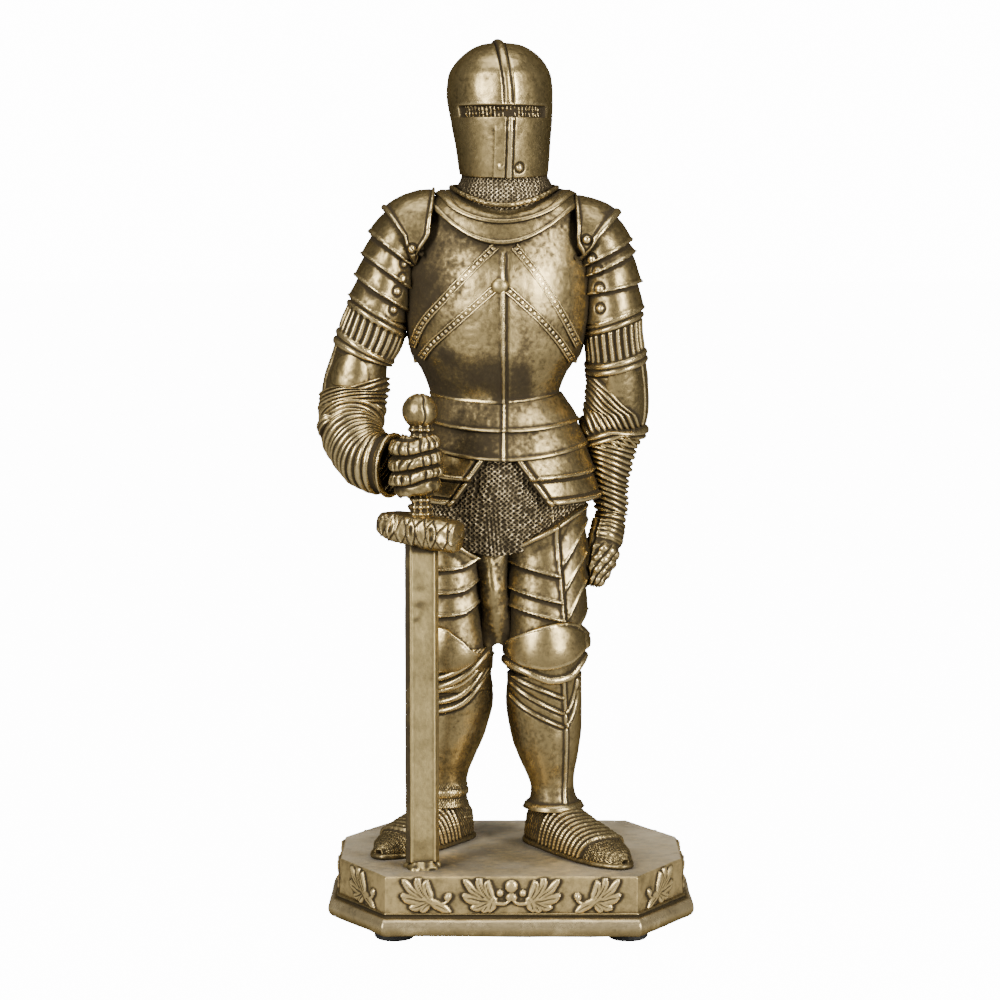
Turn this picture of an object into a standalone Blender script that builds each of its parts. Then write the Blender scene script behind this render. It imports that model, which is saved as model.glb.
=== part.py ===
"""A knight in plate armour with a long sword: a cast statuette on an eight-sided base.

Each piece is one closed solid in an object of its own. Lengths are in millimetres and become metres
when a mesh is made. +X is the figure's left, -Y its front and +Z up. "Turn" is the angle round a body
or a limb, in degrees: 0 faces front, 90 the figure's left, 180 the back and -90 its right.
"""

import math

import bmesh
import bpy
import numpy as np

MM = 0.001
GAP = 0.3  # clearance between neighbouring pieces
ORIGIN_SHIFT = 1.8  # the right elbow overhangs the base, so the base stands this far to the left

# Base
FOOT_RADIUS = 6.2
FOOT_HEIGHT = 4.0
FOOT_X = 35.5
FOOT_Y = 25.0
PLINTH_TOP = 22.2
PLINTH_HALF_WIDTH = 52.8
PLINTH_HALF_DEPTH = 39.5
PLINTH_CORNER_X = 15.0
PLINTH_CORNER_Y = 24.0
MOULDING_REACH = 3.0

# Sword
SWORD_X = -26.9
SWORD_Y = -28.0
BLADE_HALF_WIDTH = 5.5
BLADE_HALF_FLAT = 3.9
BLADE_HALF_THICKNESS = 2.1
BLADE_TURN = 11.0
GUARD_HEIGHT = 125.2
GUARD_TURN = -25.0
GUARD_TILT = 7.0
POMMEL_HEIGHT = 160.8
POMMEL_RADIUS = 5.3
GRIP_RADIUS = 2.9

# Plate thickness and how far each layer stands off the body
PLATE = (0.3, 2.2)
STRAP = (2.7, 3.8)
STRAP_WIDTH = 2.2
GORGET_PLATE = (2.5, 3.9)
GORGET_COLLAR = (2.7, 4.4)
FAULD = (0.3, 2.0)
SKIRT = (0.0, 1.5)
TASSET = (1.8, 3.6)

# Skins: the surfaces of the body and limbs, as (height, centre x, centre y, half width, half depth)
TORSO = [
    (128.6, -3.0, 6.0, 25.5, 15.5),
    (140.0, -2.6, 6.0, 23.5, 15.5),
    (150.0, -2.6, 6.0, 20.5, 14.5),
    (157.0, -3.6, 6.0, 18.0, 13.0),
    (163.0, -5.1, 6.0, 17.8, 13.0),
    (170.0, -4.8, 6.0, 21.6, 15.5),
    (178.0, -4.6, 6.0, 25.2, 17.5),
    (190.0, -4.4, 6.0, 26.4, 18.3),
    (200.0, -4.2, 6.0, 25.2, 18.0),
    (206.0, -3.4, 6.0, 20.8, 16.6),
    (212.0, -2.6, 6.0, 20.0, 15.4),
    (217.0, -2.2, 5.6, 19.2, 14.2),
    (221.0, -1.9, 5.0, 17.0, 13.2),
    (224.0, -1.8, 4.6, 14.6, 13.0),
    (228.0, -1.8, 4.2, 13.6, 12.8),
]
NECK = [
    (220.3, -1.8, 4.2, 13.8, 13.4),
    (224.0, -1.8, 4.0, 14.2, 13.4),
    (227.5, -1.8, 3.8, 13.6, 13.2),
    (231.5, -2.0, 3.5, 12.6, 13.2),
]
FAULD_SKIN = [
    (143.0, -2.4, 6.0, 25.0, 18.0),
    (148.0, -2.3, 6.0, 24.0, 17.4),
    (153.0, -2.3, 6.0, 21.8, 16.2),
    (158.0, -3.0, 6.0, 20.6, 15.2),
    (163.0, -4.6, 6.0, 18.6, 13.8),
]
SKIRT_SKIN = [
    (112.0, -3.0, 5.0, 30.5, 20.6),
    (125.0, -3.0, 5.2, 29.5, 20.4),
    (135.0, -2.6, 5.5, 27.0, 19.6),
    (142.0, -2.4, 5.8, 25.0, 18.0),
    (150.0, -2.4, 6.0, 23.0, 16.9),
]
LEFT_LEG = [
    (36.0, 13.4, 3.2, 7.8, 8.4),
    (40.0, 13.1, 3.5, 7.1, 8.0),
    (45.0, 12.4, 4.2, 7.6, 8.8),
    (50.0, 11.7, 4.6, 9.2, 10.4),
    (59.0, 10.9, 5.0, 11.2, 12.2),
    (69.0, 10.3, 4.0, 11.8, 12.6),
    (76.0, 10.4, 1.5, 11.6, 12.2),
    (84.0, 10.4, 0.2, 12.2, 12.6),
    (92.0, 10.6, 1.4, 12.0, 12.8),
    (104.0, 10.8, 3.2, 12.6, 14.0),
    (115.0, 10.9, 4.4, 12.7, 14.8),
    (128.0, 10.0, 5.6, 12.4, 15.0),
]
RIGHT_LEG = [
    (36.0, -20.9, 8.8, 7.8, 8.4),
    (40.0, -20.9, 9.0, 7.1, 8.0),
    (45.0, -20.7, 9.2, 7.6, 8.8),
    (50.0, -20.2, 9.2, 9.2, 10.4),
    (59.0, -18.6, 9.0, 11.2, 12.2),
    (69.0, -17.2, 7.6, 11.8, 12.6),
    (76.0, -18.0, 5.0, 11.6, 12.2),
    (84.0, -18.3, 3.4, 12.2, 12.6),
    (92.0, -18.8, 3.8, 11.6, 12.8),
    (104.0, -19.6, 4.8, 11.6, 14.0),
    (115.0, -19.8, 5.4, 11.7, 14.8),
    (128.0, -18.2, 6.0, 12.2, 15.0),
]
HELMET = [
    (231.8, -2.2, 3.4, 13.6, 14.6),
    (239.5, -2.5, 3.3, 14.5, 16.6),
    (248.0, -3.0, 3.2, 15.4, 17.8),
    (256.0, -3.4, 3.2, 16.2, 18.4),
    (261.0, -3.5, 3.2, 15.5, 17.8),
    (266.0, -3.4, 3.2, 12.9, 14.8),
    (270.0, -3.3, 3.2, 8.6, 9.8),
    (271.9, -3.3, 3.2, 3.6, 4.2),
]
# Arms run from the wrist to the shoulder, as (distance, x, y, z, half width, half depth)
RIGHT_ARM = [
    (0.0, -37.5, -20.5, 144.4, 7.8, 7.8),
    (8.0, -42.5, -15.5, 145.3, 8.2, 8.2),
    (17.0, -46.3, -9.0, 148.3, 8.3, 8.5),
    (26.0, -49.0, -2.5, 152.8, 8.6, 9.0),
    (34.0, -49.2, 3.0, 158.5, 9.6, 9.8),
    (43.0, -48.2, 5.3, 166.5, 9.8, 9.8),
    (52.0, -46.6, 5.5, 175.0, 9.5, 9.8),
    (60.0, -44.8, 5.2, 183.0, 8.8, 9.4),
    (68.0, -43.0, 5.0, 191.0, 7.9, 9.8),
    (76.0, -41.2, 5.2, 199.0, 7.4, 10.8),
    (84.0, -38.9, 5.6, 206.0, 7.6, 11.6),
    (92.0, -34.4, 6.0, 213.4, 8.8, 12.0),
    (99.5, -27.2, 6.0, 216.2, 9.2, 11.6),
    (107.5, -19.4, 6.0, 217.6, 8.4, 11.0),
]
LEFT_ARM = [
    (0.0, 32.0, 9.5, 127.0, 4.8, 5.4),
    (9.0, 31.8, 10.5, 136.0, 5.2, 6.2),
    (18.0, 31.6, 10.5, 145.0, 6.7, 7.2),
    (26.0, 32.4, 10.5, 152.0, 8.2, 8.6),
    (33.0, 33.4, 10.0, 159.0, 9.2, 9.4),
    (40.0, 33.5, 8.8, 166.0, 9.0, 9.5),
    (49.0, 33.2, 7.4, 175.0, 8.8, 9.5),
    (57.0, 32.8, 6.6, 183.0, 8.2, 9.4),
    (65.0, 32.5, 6.2, 191.0, 7.9, 9.8),
    (73.0, 32.0, 6.0, 199.0, 7.8, 10.8),
    (80.0, 30.4, 6.0, 206.0, 8.0, 11.6),
    (88.0, 26.8, 6.0, 212.6, 8.6, 12.0),
    (94.5, 20.8, 6.0, 215.3, 8.8, 11.6),
    (101.5, 14.0, 6.0, 216.6, 8.4, 11.0),
]
LEFT_HAND = [
    (0.0, 26.4, 2.6, 105.8, 1.9, 2.6),
    (3.0, 27.2, 3.4, 108.8, 3.2, 4.4),
    (8.0, 28.6, 5.0, 113.6, 4.4, 5.6),
    (14.0, 29.6, 6.8, 119.4, 4.6, 5.8),
    (20.6, 30.9, 8.9, 125.8, 4.2, 4.8),
]
# Feet run from heel to toe, as (distance, half width, height above the sole)
FOOT_SHAPE = [
    (-1.0, 3.6, 9.0),
    (1.0, 6.2, 11.4),
    (5.0, 7.4, 11.6),
    (13.0, 8.0, 11.6),
    (17.0, 8.3, 11.0),
    (22.0, 8.6, 9.6),
    (32.0, 8.6, 7.6),
    (42.0, 6.6, 5.2),
    (48.0, 3.8, 3.2),
    (50.5, 1.4, 1.6),
]
LEFT_HEEL = (7.4, 12.0)
LEFT_FOOT_TURN = 33.0
RIGHT_HEEL = (-12.6, 16.6)
RIGHT_FOOT_TURN = -42.0
SOLE_THICKNESS = 1.2

BRASS = ((0.42, 0.31, 0.14, 1.0), 0.36, 0.9)
DARK_BRASS = ((0.20, 0.15, 0.08, 1.0), 0.5, 0.8)
BLADE_BRASS = ((0.50, 0.38, 0.19, 1.0), 0.32, 0.9)
STONE_BRASS = ((0.34, 0.29, 0.20, 1.0), 0.5, 0.6)
RUBBER = ((0.015, 0.015, 0.015, 1.0), 0.8, 0.0)


def empty_scene():
    for thing in list(bpy.data.objects):
        bpy.data.objects.remove(thing)


def finish_object(name, mesh, look, smooth_angle=40.0):
    """Puts a mesh in the scene as one object, with its own material and smooth shading."""
    color, roughness, metallic = look
    material = bpy.data.materials.new(name)
    material.use_nodes = True
    shader = material.node_tree.nodes["Principled BSDF"]
    shader.inputs["Base Color"].default_value = color
    shader.inputs["Roughness"].default_value = roughness
    shader.inputs["Metallic"].default_value = metallic
    material.diffuse_color = color
    mesh.materials.append(material)
    if smooth_angle:
        mesh.shade_smooth()
        mesh.set_sharp_from_angle(angle=math.radians(smooth_angle))
    thing = bpy.data.objects.new(name, mesh)
    thing.location.x = ORIGIN_SHIFT * MM
    bpy.context.scene.collection.objects.link(thing)
    return thing


def mesh_from(name, points, faces):
    """A mesh in metres from points in millimetres, with its faces turned outwards."""
    mesh = bpy.data.meshes.new(name)
    mesh.from_pydata([tuple(p) for p in np.asarray(points) * MM], [], faces)
    shape = bmesh.new()
    shape.from_mesh(mesh)
    bmesh.ops.recalc_face_normals(shape, faces=shape.faces)
    shape.to_mesh(mesh)
    shape.free()
    return mesh


def smooth_value(stations, values, at):
    """A smooth curve through values at stations, with no overshoot between them."""
    x = np.asarray(stations, float)
    y = np.asarray(values, float)
    step = np.diff(x)
    slope = np.diff(y) / step
    tangent = np.zeros(len(x))
    tangent[0] = slope[0]
    tangent[-1] = slope[-1]
    for i in range(1, len(x) - 1):
        if slope[i - 1] * slope[i] > 0:
            tangent[i] = 2 * slope[i - 1] * slope[i] / (slope[i - 1] + slope[i])
    at = np.clip(np.asarray(at, float), x[0], x[-1])
    i = np.clip(np.searchsorted(x, at, side="right") - 1, 0, len(x) - 2)
    t = (at - x[i]) / step[i]
    rise = y[i] * (2 * t**3 - 3 * t**2 + 1) + y[i + 1] * (3 * t**2 - 2 * t**3)
    bend = step[i] * (tangent[i] * (t**3 - 2 * t**2 + t) + tangent[i + 1] * (t**3 - t**2))
    return rise + bend


class Skin:
    """A body or limb surface: oval rings along a centre line, read at any turn and station."""

    SAMPLES = 160

    def __init__(self, stations):
        upright = len(stations[0]) == 5  # its stations are heights, and its rings are level
        if upright:
            stations = [(z, x, y, z, side, front) for z, x, y, side, front in stations]
        self.table = np.array(stations, float)
        self.start = self.table[0, 0]
        self.end = self.table[-1, 0]
        self.samples = np.linspace(self.start, self.end, self.SAMPLES)
        line = self.centre(self.samples)
        along = np.gradient(line, self.samples, axis=0)
        along /= np.linalg.norm(along, axis=1)[:, None]
        if upright:
            along[:] = (0.0, 0.0, 1.0)
        front = np.zeros_like(line)
        facing = np.array([0.0, -1.0, 0.0])
        for i in range(len(along) - 1, -1, -1):  # a limb's front is known at its upper end
            direction = along[i]
            facing = facing - direction * (facing @ direction)
            facing /= np.linalg.norm(facing)
            front[i] = facing
        self.front = front
        self.side = np.cross(along, front)

    def column(self, index, at):
        return smooth_value(self.table[:, 0], self.table[:, index], at)

    def centre(self, at):
        return np.stack([self.column(i, at) for i in (1, 2, 3)], -1)

    def direction(self, table, at):
        return np.stack([np.interp(at, self.samples, table[:, i]) for i in range(3)], -1)

    def point(self, turn, at, out=0.0):
        """The point at a turn and station, standing off the skin by out."""
        turn, at, out = np.broadcast_arrays(np.radians(turn), np.asarray(at, float), out)
        side = (self.column(4, at) + out) * np.sin(turn)
        front = (self.column(5, at) + out) * np.cos(turn)
        across = side[..., None] * self.direction(self.side, at)
        forward = front[..., None] * self.direction(self.front, at)
        return self.centre(at) + across + forward

    def turn_at(self, x, at, out=0.0):
        """The turn at which an upright skin's front reaches x at a height."""
        reach = self.column(4, at) + out
        return math.degrees(math.asin(np.clip((x - self.column(1, at)) / reach, -0.999, 0.999)))


def grid_faces(first, rows, columns, wrap, flip=False):
    """Quads over a grid of points laid out row by row from index first."""
    faces = []
    for r in range(rows - 1):
        for c in range(columns if wrap else columns - 1):
            n = (c + 1) % columns
            quad = [first + r * columns + c, first + r * columns + n]
            quad += [first + (r + 1) * columns + n, first + (r + 1) * columns + c]
            faces.append(quad[::-1] if flip else quad)
    return faces


def segment(name, skin, stations, look, columns=20, swell=None, phase=0.0):
    """A solid length of a limb, through the given stations. swell adds to its rings."""
    turns = np.arange(columns) * 360.0 / columns + phase
    swell = swell or [0.0] * len(stations)
    points = np.concatenate([skin.point(turns, s, w) for s, w in zip(stations, swell)])
    faces = grid_faces(0, len(stations), columns, True)
    faces.append(list(range(columns))[::-1])
    faces.append(list(range(len(points) - columns, len(points))))
    return finish_object(name, mesh_from(name, points, faces), look)


def shell(name, skin, turns, low, high, stand_off, look, rows=5, wrap=False):
    """A curved plate between two heights and two distances off a skin. low and high take a turn."""
    turns = np.asarray(turns, float)
    columns = len(turns)
    share = np.linspace(0, 1, rows)[:, None]
    bottom = np.array([low(t) for t in turns])
    top = np.array([high(t) for t in turns])
    height = bottom * (1 - share) + top * share
    layers = [skin.point(turns[None, :], height, off).reshape(-1, 3) for off in stand_off]
    count = rows * columns
    faces = grid_faces(0, rows, columns, wrap, flip=True)
    faces += grid_faces(count, rows, columns, wrap)
    for c in range(columns if wrap else columns - 1):
        n = (c + 1) % columns
        faces.append([c, n, count + n, count + c])
        last = count - columns
        faces.append([last + n, last + c, count + last + c, count + last + n])
    if not wrap:
        for c in (0, columns - 1):
            for r in range(rows - 1):
                a, b = r * columns + c, (r + 1) * columns + c
                side = [a, b, count + b, count + a]
                faces.append(side[::-1] if c else side)
    return finish_object(name, mesh_from(name, np.concatenate(layers), faces), look)


def strip(name, skin, route, stand_off, width, look, steps=12):
    """A flat strap on the front of an upright skin, through (x, height) points of its middle."""
    route = np.array(route, float)
    length = np.concatenate([[0], np.cumsum(np.linalg.norm(np.diff(route, axis=0), axis=1))])
    share = np.linspace(0, length[-1], steps)
    middle = np.stack([smooth_value(length, route[:, i], share) for i in (0, 1)], -1)
    along = np.gradient(middle, axis=0)
    across = np.stack([-along[:, 1], along[:, 0]], -1)
    across *= width / 2 / np.linalg.norm(across, axis=1)[:, None]
    corners = []
    for off in stand_off:
        for sign in (-1, 1):
            edge = middle + sign * across
            row = [skin.point(skin.turn_at(x, z, off), z, off) for x, z in edge]
            corners.append(np.array(row))
    order = [corners[0], corners[1], corners[3], corners[2]]
    points = np.stack(order, 1).reshape(-1, 3)
    faces = grid_faces(0, steps, 4, True)
    faces.append([3, 2, 1, 0])
    faces.append([len(points) - 4 + i for i in range(4)])
    return finish_object(name, mesh_from(name, points, faces), look)


def stacked_rings(name, rings, look, smooth_angle=40.0):
    """A solid through rings of equal point count, closed by its first and last ring."""
    columns = len(rings[0])
    points = np.concatenate(rings)
    faces = grid_faces(0, len(rings), columns, True)
    faces.append(list(range(columns))[::-1])
    faces.append(list(range(len(points) - columns, len(points))))
    return finish_object(name, mesh_from(name, points, faces), look, smooth_angle)


def octagon(grow, height):
    """The base's outline, moved outwards by grow."""
    w, d = PLINTH_HALF_WIDTH, PLINTH_HALF_DEPTH
    cx, cy = PLINTH_CORNER_X, PLINTH_CORNER_Y
    slant = math.hypot(cx, cy)
    along_x = grow * (slant - cy) / cx
    along_y = grow * (slant - cx) / cy
    front = w - cx + along_x
    side = d - cy + along_y
    corners = [(front, -d - grow), (w + grow, -side), (w + grow, side), (front, d + grow)]
    corners += [(-x, y) for x, y in corners[::-1]]
    return np.array([(x, y, height) for x, y in corners])


def turned(name, profile, place, look, sides=20, smooth_angle=40.0):
    """A round piece: (radius, height) rings about a vertical axis at place."""
    angles = np.radians(np.arange(sides) * 360.0 / sides)
    rings = []
    for radius, height in profile:
        x = place[0] + radius * np.cos(angles)
        y = place[1] + radius * np.sin(angles)
        rings.append(np.stack([x, y, np.full(sides, place[2] + height)], -1))
    return stacked_rings(name, rings, look, smooth_angle)


def cutter(name, points, faces):
    """A hidden shape that a Boolean takes out of a piece."""
    thing = bpy.data.objects.new(name, mesh_from(name, points, faces))
    thing.location.x = ORIGIN_SHIFT * MM
    thing.hide_render = True
    thing.display_type = "WIRE"
    bpy.context.scene.collection.objects.link(thing)
    return thing


def cut(piece, tool):
    boolean = piece.modifiers.new("cut", "BOOLEAN")
    boolean.operation = "DIFFERENCE"
    boolean.solver = "EXACT"
    boolean.object = tool


# ---------------------------------------------------------------- base


def make_base():
    corners = [(x, y) for y in (-FOOT_Y, FOOT_Y) for x in (-FOOT_X, FOOT_X)]
    names = ["front_right", "front_left", "rear_right", "rear_left"]
    edge = 0.6
    profile = [
        (FOOT_RADIUS - edge, 0),
        (FOOT_RADIUS, edge),
        (FOOT_RADIUS, FOOT_HEIGHT),
    ]
    for name, (x, y) in zip(names, corners):
        turned("bumper_" + name, profile, (x, y, 0), RUBBER)
    bullnose = [
        (-1.6, FOOT_HEIGHT + GAP),
        (-0.4, 4.7),
        (0.0, 5.8),
        (0.0, 7.4),
        (-0.5, 8.6),
        (-1.5, 9.4),
        (-2.4, 9.6),
        (-2.4, 10.8),
    ]
    rings = [octagon(MOULDING_REACH + grow, z) for grow, z in bullnose]
    stacked_rings("base_moulding", rings, BRASS, 30.0)
    body = [(0.3, 10.8 + GAP), (0.1, 12.0), (0.0, PLINTH_TOP - 0.7), (-0.7, PLINTH_TOP)]
    rings = [octagon(grow, z) for grow, z in body]
    stacked_rings("base_plinth", rings, STONE_BRASS, 30.0)


# ---------------------------------------------------------------- sword


def make_sword():
    ground = PLINTH_TOP + GAP
    lump = [(4.6, 0), (4.8, 0.8), (4.2, 1.8), (3.4, 2.4)]
    turned("sword_socket", lump, (SWORD_X + 0.2, SWORD_Y, ground), BRASS, 16)
    turn = math.radians(BLADE_TURN)
    w, flat, t = BLADE_HALF_WIDTH, BLADE_HALF_FLAT, BLADE_HALF_THICKNESS
    section = [(-w, -0.4), (-flat, -t), (flat, -t), (w, -0.4), (w, 0.4), (flat, t), (-flat, t), (-w, 0.4)]
    rings = []
    low, high = ground + 2.4 + GAP, GUARD_HEIGHT - 5.6
    for height in (low, (low + high) / 2, high):
        ring = []
        for x, y in section:
            across = x * math.cos(turn) - y * math.sin(turn)
            deep = x * math.sin(turn) + y * math.cos(turn)
            ring.append((SWORD_X + across, SWORD_Y + deep, height))
        rings.append(np.array(ring))
    stacked_rings("sword_blade", rings, BLADE_BRASS, 20.0)
    make_crossguard()
    low, high = GUARD_HEIGHT + 5.0, POMMEL_HEIGHT - POMMEL_RADIUS - 0.6
    grip = [(GRIP_RADIUS, 0), (GRIP_RADIUS, high - low)]
    turned("sword_grip", grip, (SWORD_X, SWORD_Y, low), BRASS, 14)
    arc = [math.radians(a) for a in (-72, -50, -25, 0, 25, 50, 72)]
    ball = [(POMMEL_RADIUS * math.cos(a), POMMEL_RADIUS * math.sin(a)) for a in arc]
    turned("sword_pommel", ball, (SWORD_X - 0.4, SWORD_Y, POMMEL_HEIGHT), BRASS, 18)


def make_crossguard():
    """A stout bar with drooping, rounded ends, turned a little and tilted towards its left end."""
    stations = [
        (-12.8, 1.6, 2.0),
        (-11.4, 3.0, 3.4),
        (-6.5, 4.2, 4.3),
        (0.0, 4.6, 4.6),
        (6.5, 4.6, 4.4),
        (11.0, 4.0, 3.8),
        (12.6, 2.2, 2.4),
    ]
    turn, tilt = math.radians(GUARD_TURN), math.radians(-GUARD_TILT)
    along = np.array([math.cos(turn) * math.cos(tilt), math.sin(turn) * math.cos(tilt), math.sin(tilt)])
    across = np.array([-math.sin(turn), math.cos(turn), 0.0])
    up = np.cross(along, across)
    middle = np.array([SWORD_X - 0.9, SWORD_Y, GUARD_HEIGHT])
    angles = np.radians(np.arange(10) * 36.0 + 18.0)
    rings = []
    for place, deep, tall in stations:
        around = np.outer(np.cos(angles) * deep, across) + np.outer(np.sin(angles) * tall, up)
        rings.append(middle + place * along + around)
    stacked_rings("sword_crossguard", rings, BRASS)


# ---------------------------------------------------------------- legs


def foot_frame(heel, turn):
    """A function from (along, across, height) on a foot to a point."""
    a = math.radians(turn)
    forward = np.array([math.sin(a), -math.cos(a), 0.0])
    across = np.array([math.cos(a), math.sin(a), 0.0])
    start = np.array([heel[0], heel[1], 0.0])

    def place(along, side, height):
        return start + forward * along + across * side + np.array([0.0, 0.0, height])

    return place


def make_foot(side, heel, turn):
    place = foot_frame(heel, turn)
    ground = PLINTH_TOP + GAP
    outline = [(s, w + 0.9) for s, w, h in FOOT_SHAPE]
    outline[0] = (FOOT_SHAPE[0][0] - 0.9, FOOT_SHAPE[0][1] + 0.2)
    outline[-1] = (FOOT_SHAPE[-1][0] + 0.9, FOOT_SHAPE[-1][1])
    edge = outline + [(s, -w) for s, w in outline[::-1]]
    rings = []
    for height in (ground, ground + SOLE_THICKNESS):
        rings.append(np.array([place(s, w, height) for s, w in edge]))
    stacked_rings("sole_" + side, rings, DARK_BRASS, 30.0)
    floor = ground + SOLE_THICKNESS + GAP
    arch = np.radians(np.linspace(0, 180, 11))
    rings = []
    for along, width, height in FOOT_SHAPE:
        round_top = 0.62
        ring = []
        for a in arch:
            across = width * math.copysign(abs(math.cos(a)) ** round_top, math.cos(a))
            ring.append(place(along, across, floor + height * math.sin(a) ** round_top))
        rings.append(np.array(ring))
    stacked_rings("sabaton_" + side, rings, BRASS)


def make_leg(side, stations, heel, turn):
    leg = Skin(stations)
    make_foot(side, heel, turn)
    greave = [36.0, 38.6, 39.4, 45, 51, 58, 64, 70.4]
    segment("greave_" + side, leg, greave, BRASS, 20, [0.4, 0.4, 0, 0, 0, 0, 0, 0])
    lames = [70.7, 71.6, 75.0, 78.4, 79.2]
    segment("knee_lames_" + side, leg, lames, BRASS, 20, [0.4, 1.0, 1.0, 0.8, 0.3])
    poleyn = [79.5, 80.5, 84, 88, 92, 93.4]
    segment("poleyn_" + side, leg, poleyn, BRASS, 20, [0.3, 0.9, 1.0, 0.8, 0.4, 0])
    cuisse = [93.7, 98, 103, 108, 114, 120, 125, 128.0]
    segment("cuisse_" + side, leg, cuisse, BRASS, 20)


def make_legs():
    make_leg("left", LEFT_LEG, LEFT_HEEL, LEFT_FOOT_TURN)
    make_leg("right", RIGHT_LEG, RIGHT_HEEL, RIGHT_FOOT_TURN)
    drape = Skin([(87, -4.0, 3.0, 1.3, 3.0), (96, -4.6, 3.2, 1.8, 5.5), (113, -4.9, 3.4, 2.2, 7.0)])
    segment("loin_drape", drape, [87, 91, 96, 105, 113], DARK_BRASS, 12)


# ---------------------------------------------------------------- body


def around(columns):
    return np.arange(columns) * 360.0 / columns


def front_dip(turn, depth):
    """How far an edge drops towards the middle of the front."""
    return depth * max(0.0, math.cos(math.radians(turn))) ** 2


def skirt_edge(turn):
    """The mail skirt hangs to a point in front, a shallower one behind, and is short at the sides."""
    facing = math.cos(math.radians(turn))
    if facing > 0:
        away = abs(-3.0 + 30.0 * math.sin(math.radians(turn)) + 6.8)
        return min(130.0, 115.2 + 0.62 * max(0.0, away - 2.0))
    away = abs(30.0 * math.sin(math.radians(turn)))
    return min(130.0, 118.0 + 0.55 * away)


def fauld_low(turn):
    return 148.4 - front_dip(turn, 3.6)


def tasset_low(turn):
    return 130.8 + 0.03 * max(0.0, abs(turn) - 35.0)


def make_hips():
    skirt = Skin(SKIRT_SKIN)
    shell("mail_skirt", skirt, around(36), skirt_edge, lambda t: 142.0, SKIRT, DARK_BRASS, 5, True)
    fauld = Skin(FAULD_SKIN)
    turns = around(32)
    middle = lambda t: 155.6 - front_dip(t, 2.6)
    shell("fauld_upper", fauld, turns, middle, lambda t: 162.8 - front_dip(t, 2.6), FAULD, BRASS, 3, True)
    high = lambda t: middle(t) - GAP
    shell("fauld_lower", fauld, turns, fauld_low, high, FAULD, BRASS, 3, True)

    def inner_edge(height_share):
        return 6.0 + 22.0 * height_share

    def tasset(name, sign):
        rows, columns = 5, 9
        points = []
        for off in TASSET:
            for r in range(rows):
                share = r / (rows - 1)
                top = 1 - share
                for c in range(columns):
                    start = inner_edge(share) + (4.0 if sign < 0 else 0.0)
                    turn = start + (80.0 - start) * c / (columns - 1)
                    high_z = fauld_low(turn) - 2 * GAP
                    height = high_z * top + tasset_low(turn) * share
                    points.append(skirt.point(sign * turn, height, off))
        count = rows * columns
        faces = grid_faces(0, rows, columns, False) + grid_faces(count, rows, columns, False, True)
        for c in range(columns - 1):
            faces.append([c, c + 1, count + c + 1, count + c])
            last = count - columns
            faces.append([last + c + 1, last + c, count + last + c, count + last + c + 1])
        for c in (0, columns - 1):
            for r in range(rows - 1):
                a, b = r * columns + c, (r + 1) * columns + c
                faces.append([a, b, count + b, count + a])
        finish_object(name, mesh_from(name, points, faces), BRASS)

    tasset("tasset_left", 1)
    tasset("tasset_right", -1)
    back = np.linspace(118.0, 242.0, 11)
    shell("culet", skirt, back, lambda t: 133.0, lambda t: 147.6, TASSET, BRASS, 4)


def breast_low(turn):
    return 163.6 - front_dip(turn, 2.2)


def gorget_low(turn):
    return 218.4 - front_dip(turn, 8.0) - front_dip(turn + 180.0, 5.0)


def collar_low(turn):
    return 222.6 - front_dip(turn, 6.0)


def ring_height(turn):
    """The corded ring dips in front and rides up behind."""
    return 226.6 - front_dip(turn, 5.4) + front_dip(turn + 180.0, 1.6)


def make_torso():
    torso = Skin(TORSO)
    rows = [128.6, 134, 140, 145, 150, 157, 163, 170, 178, 190, 200, 206, 212, 216, 219.3]
    under_plate = [0.0 if z < 145 else -0.8 for z in rows]
    segment("body_core", torso, rows, DARK_BRASS, 32, under_plate)
    front = np.linspace(-89.0, 89.0, 17)
    back = np.linspace(91.0, 269.0, 17)
    top = lambda t: 220.0
    shell("breastplate", torso, front, breast_low, top, PLATE, BRASS, 11)
    shell("backplate", torso, back, lambda t: 163.6, top, PLATE, BRASS, 11)
    routes = {
        "strap_upper_right": [(-6.0, 209.2), (-20.6, 193.4), (-30.2, 179.6)],
        "strap_upper_left": [(1.0, 209.2), (9.6, 198.0), (21.0, 179.0)],
        "strap_lower_right": [(-6.0, 195.4), (-20.0, 183.5), (-27.2, 176.2)],
        "strap_lower_left": [(-0.8, 195.4), (10.2, 185.9), (18.4, 175.0)],
    }
    for name, route in routes.items():
        strip(name, torso, route, STRAP, STRAP_WIDTH, BRASS)
    face = torso.point(torso.turn_at(-3.4, 197.7), 197.7, PLATE[1] + GAP)
    angles = np.radians(np.arange(14) * 360.0 / 14)
    rings = []
    for radius, out in ((2.7, 0.0), (2.6, 0.7), (1.9, 1.5), (0.8, 1.9)):
        x = face[0] + radius * np.cos(angles)
        z = face[2] + radius * np.sin(angles)
        rings.append(np.stack([x, np.full(14, face[1] - out), z], -1))
    stacked_rings("chest_boss", rings, BRASS)
    turns = around(36)
    shell("gorget_plate", torso, turns, gorget_low, lambda t: collar_low(t) - GAP, GORGET_PLATE, BRASS, 4, True)
    collar_high = lambda t: ring_height(t) - 1.5
    shell("gorget_collar", torso, turns, collar_low, collar_high, GORGET_COLLAR, BRASS, 3, True)


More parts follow.
